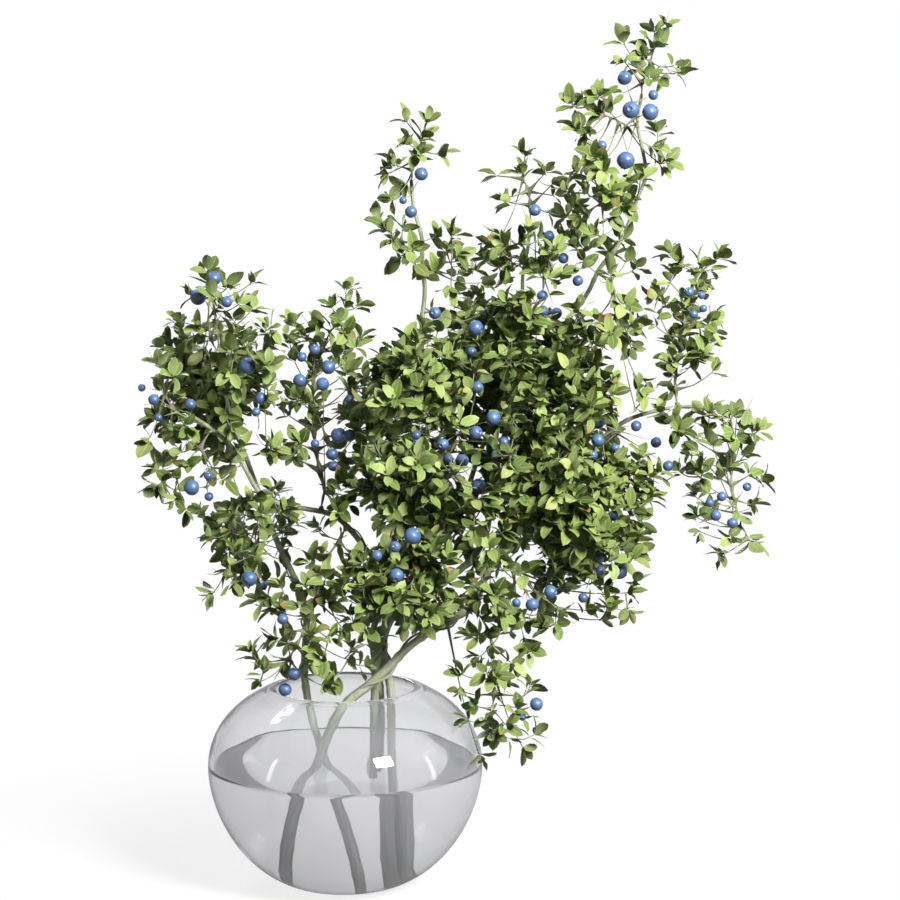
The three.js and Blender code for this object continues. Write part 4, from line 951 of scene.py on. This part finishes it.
def fill_tufts(leaves, twig_points, thick, own):
    """More leaves in each tuft of the frame, and a pair beside each leaf that stands alone."""
    fine, plain = [], []
    bases = leaves[:, 0]
    for group in tufts_of(bases):
        centre = bases[group].mean(0)
        away = np.linalg.norm(twig_points - centre, axis=1)
        nearby = twig_points[(away > TWIG_BELOW[0]) & (away < TWIG_BELOW[1])]
        if not len(nearby):
            continue
        if len(group) > 1:
            axis = unit(centre - nearby.mean(0))
            turn = own.uniform(0, FULL_TURN)
            fine += whorl(centre + axis * 0.6 * MM, axis, TUFT_HEART, own, turn, own.uniform(*YOUNG))
            skirt = THICK_SKIRT if thick else OPEN_SKIRT
            plain += whorl(centre - axis * SKIRT_DROP, axis, skirt, own, turn + 0.6)
            tuft_places.append(centre)
            continue
        base, tip, up = leaves[group[0]]
        for angle in (own.uniform(*PAIR_ANGLES), -own.uniform(*PAIR_ANGLES)):
            out = rotated(unit(tip - base), unit(up), angle) + 0.25 * unit(up)
            fine.append(leaf_row(base, out, up + 0.4 * SKY, own.uniform(*PAIRED_LEAVES) * MM, own))
    return fine, plain


def leaves_in_sight(rows):
    """The leaves among these that don't hang before a berry, for whoever looks at it from the front."""
    if not len(rows):
        return rows
    rows = np.array(rows)
    kept = np.ones(len(rows), bool)
    for share in (0.25, 0.6, 0.95):
        spot = rows[:, 0:3] + share * (rows[:, 3:6] - rows[:, 0:3])
        gap = spot[:, None] - all_berries[None, :, :3]
        before = gap @ TO_FRONT
        beside = np.linalg.norm(gap - before[..., None] * TO_FRONT, axis=-1)
        kept &= ~((before > 0) & (before < SIGHT) & (beside < all_berries[:, 3] + BERRY_MARGIN)).any(1)
    return list(rows[kept])


def rounded_skin(name, points, faces, node, over, joined_to=None):
    """A skin of the frame's twigs or stalks, pushed out and rounded. A tube may join it to its bearer."""
    gathered = Gathered()
    gathered.add(points, [], faces)
    if joined_to:
        join(gathered, *joined_to)
    piece = gathered.piece(name, twig_bark, "wood")
    swell(piece, over)
    keep(piece, "bark", node)


def make_shoot(node, seed):
    """A shoot's leaves, its twigs, and the side twigs that are grown on it."""
    own = np.random.RandomState(seed)
    leaves, (twig_points, twig_faces), start = shoots[node]
    name = node[6:]
    thick = name not in AIRY | OPEN
    grown = [[*base, *tip, *unit(up), own.uniform(*CAD_WIDTH_SHARES), *leaf_kind(own)]
             for base, tip, up in leaves]
    fine, plain = fill_tufts(leaves, twig_points, thick, own)
    spurs = Gathered()
    if name not in AIRY:
        grow_spurs(twig_points, leaves[:, :2].mean(1), thick, own, spurs, fine, plain)
    grow_hairs(twig_points, own, spurs)
    join(spurs, start, stem_wood)
    fine, plain = grown + leaves_in_sight(fine), leaves_in_sight(plain)
    keep(leaf_piece("leaves_" + name, fine, plain, leaf_green, own), "leaf", node)
    rounded_skin("twigs_" + name, twig_points, twig_faces, node, TWIG_OVER)
    keep(spurs.piece("spurs_" + name, twig_bark, "wood"), "bark", node)


leaf_green = leaf_material()
shoots = {node: read_shoot(node) for node in SHOOT_NODES}
trusses = {node: read_truss(node) for node in TRUSS_NODES}
all_berries = np.concatenate([berries[:, :4] for berries, _, _ in trusses.values()])
stem_wood = np.concatenate(list(wood_lines.values()))
tuft_places = []
for number, node in enumerate(SHOOT_NODES):
    make_shoot(node, 200 + number)

# ---- Berries ----

BERRY_RINGS = 14
BERRY_SEGMENTS = 20
BERRY_SQUASH = 0.94  # height of its round part, as a share of its width
CROWN_POINTS = 5


def berry_template():
    """A berry of radius 1 that hangs along +Z, with a dimple at the stalk and a crown round a dish."""
    angle = np.arange(BERRY_SEGMENTS) * 2 * math.pi / BERRY_SEGMENTS
    even = np.ones_like(angle)
    point = np.cos(CROWN_POINTS * angle)
    polars = np.linspace(0.16, math.pi - 0.40, BERRY_RINGS)
    rings = [(np.sin(polar) * even, -BERRY_SQUASH * np.cos(polar) * even) for polar in polars]
    rim = rings[-1][1][0]
    rings.append((0.34 + 0.035 * point, rim + 0.075 + 0.045 * point))
    rings.append((0.28 + 0.02 * point, rim + 0.06 + 0.035 * point))
    rings.append((0.22 * even, (rim - 0.03) * even))
    points = [np.stack([r * np.cos(angle), r * np.sin(angle), z], -1) for r, z in rings]
    points = np.concatenate([*points, [[0, 0, -0.90], [0, 0, rim - 0.05]]])
    return points, *ring_faces(len(rings), BERRY_SEGMENTS)


BERRY = berry_template()


def add_berry(gathered, middle, radius, hang, own):
    """One berry, turned about the way it hangs, with its ripeness and its own number for the bloom."""
    points, quads, fans = BERRY
    hang = unit(hang)
    u = rotated(any_square(hang), hang, own.uniform(0, FULL_TURN))
    turn = np.stack([u, np.cross(hang, u), hang])
    marks = np.stack([points[:, 2], np.full(len(points), own.rand()), np.full(len(points), own.rand())], -1)
    gathered.add(middle + radius * points @ turn, quads, fans, marks)


def make_truss(node, seed):
    """A truss's berries and its stalks."""
    own = np.random.RandomState(seed)
    berries, (points, faces), start = trusses[node]
    balls = Gathered()
    for row in berries:
        add_berry(balls, row[0:3], row[3], row[4:7], own)
    keep(balls.piece("berries_" + node[6:], berry_skin, "berry"), "berry", node)
    rounded_skin("stalks_" + node[6:], points, faces, node, STALK_OVER, joined_to=(start, all_wood))


berry_skin = berry_material()
all_wood = np.concatenate([stem_wood, *[twig_points for _, (twig_points, _), _ in shoots.values()]])
for number, node in enumerate(TRUSS_NODES):
    make_truss(node, 300 + number)

# ---- Camera, light and floor ----

CAMERA_PLACE = (0.0954, -2.1216, 0.644)
CAMERA_DOWN = 0.11524  # below the horizon, in radians
LENS = 94.97
TARGET = Vector((0.08, 0.0, 0.42))  # what the lamps face
SKY_GLOW = 0.012
MIRRORED_WHITE = 0.5  # shiny leaves and berries would look misty with all of it
FLOOR_REACH = 6.0
FLOOR_DROP = 0.2 * MM
PAPER_SEEN, PAPER_UNSEEN = (0.9, 0.9, 0.9), (0.08, 0.08, 0.08)


def place_camera():
    camera = bpy.data.objects.new("camera", bpy.data.cameras.new("camera"))
    bpy.context.scene.collection.objects.link(camera)
    camera.location = CAMERA_PLACE
    camera.rotation_euler = (math.pi / 2 - CAMERA_DOWN, 0, 0)
    camera.data.sensor_width = 36.0
    camera.data.lens = LENS
    camera.data.clip_end = 50.0
    bpy.context.scene.camera = camera


def softbox(name, place, size, power, through_glass=True):
    """A soft lamp facing the arrangement. One that isn't seen through glass is still mirrored in it."""
    data = bpy.data.lights.new(name, "AREA")
    data.shape = "RECTANGLE"
    data.size, data.size_y = size
    data.energy = power
    lamp = bpy.data.objects.new(name, data)
    bpy.context.scene.collection.objects.link(lamp)
    lamp.location = place
    lamp.visible_transmission = through_glass
    lamp.rotation_euler = (TARGET - Vector(place)).to_track_quat("-Z", "Y").to_euler()


def share_of_white(tree):
    """How much of the white a ray sees: all for the camera and through glass, some in mirrors."""
    path = tree.nodes.new("ShaderNodeLightPath")
    mirrored = tree.nodes.new("ShaderNodeMath")
    mirrored.operation = "MULTIPLY"
    tree.links.new(path.outputs["Is Glossy Ray"], mirrored.inputs[0])
    mirrored.inputs[1].default_value = MIRRORED_WHITE
    seen = mirrored.outputs[0]
    for key in ("Is Camera Ray", "Is Transmission Ray"):
        either = tree.nodes.new("ShaderNodeMath")
        either.operation = "MAXIMUM"
        tree.links.new(seen, either.inputs[0])
        tree.links.new(path.outputs[key], either.inputs[1])
        seen = either.outputs[0]
    return seen


def background(tree, colour, strength):
    made = tree.nodes.new("ShaderNodeBackground")
    made.inputs[0].default_value = (*colour, 1)
    made.inputs[1].default_value = strength
    return made.outputs[0]


def make_world():
    """White for whoever looks at it, and hardly any light from it."""
    world = bpy.data.worlds.new("studio")
    bpy.context.scene.world = world
    world.use_nodes = True
    tree = world.node_tree
    tree.nodes.clear()
    mixed = tree.nodes.new("ShaderNodeMixShader")
    tree.links.new(share_of_white(tree), mixed.inputs[0])
    tree.links.new(background(tree, (0.9, 0.95, 1.0), SKY_GLOW), mixed.inputs[1])
    tree.links.new(background(tree, (1, 1, 1), 1.0), mixed.inputs[2])
    output = tree.nodes.new("ShaderNodeOutputWorld")
    tree.links.new(mixed.outputs[0], output.inputs[0])


def floor_material():
    """White paper that takes the object's shadow near it, and is plain white further off."""
    g = Graph("floor")
    place = g.node("TexCoord").outputs["Object"]
    away = g.node("VectorMath", {0: place}, operation="LENGTH").outputs["Value"]
    far = g.span(away, 0.12, 0.6, 0.8, 1.0)
    # The paper is darker to the light that it throws back up, so that the shade among the leaves stays deep.
    direct = g.node("LightPath").outputs["Is Camera Ray"]
    paper = g.node("BsdfDiffuse", {"Color": g.blend(direct, PAPER_UNSEEN, PAPER_SEEN)})
    glow = g.node("Emission", {"Color": (1, 1, 1, 1), "Strength": 1.0})
    g.mixed(g.math("MULTIPLY", share_of_white(g.tree), far), paper, glow)
    return g.material


place_camera()
softbox("key", (1.25, -1.6, 1.5), (0.6, 0.6), 106.0, through_glass=False)
softbox("left_strip", (-1.9, -1.0, 0.7), (0.15, 1.1), 2.5)
softbox("right_strip", (2.0, -0.4, 0.5), (0.15, 1.1), 2.5)
softbox("back", (-0.2, 1.85, 1.15), (0.6, 0.6), 14.0, through_glass=False)
softbox("window", (-0.85, 0.75, 1.85), (0.7, 0.7), 6.0)
make_world()
floor_corners = [(x * FLOOR_REACH, y * FLOOR_REACH, 0) for x, y in ((-1, -1), (1, -1), (1, 1), (-1, 1))]
floor = mesh_object("floor", floor_corners, [np.array([[0, 1, 2, 3]])], floor_material(), smooth=False)
floor.location.z = -FLOOR_DROP

bpy.context.scene.view_settings.view_transform = "Standard"

bpy.context.view_layer.update()
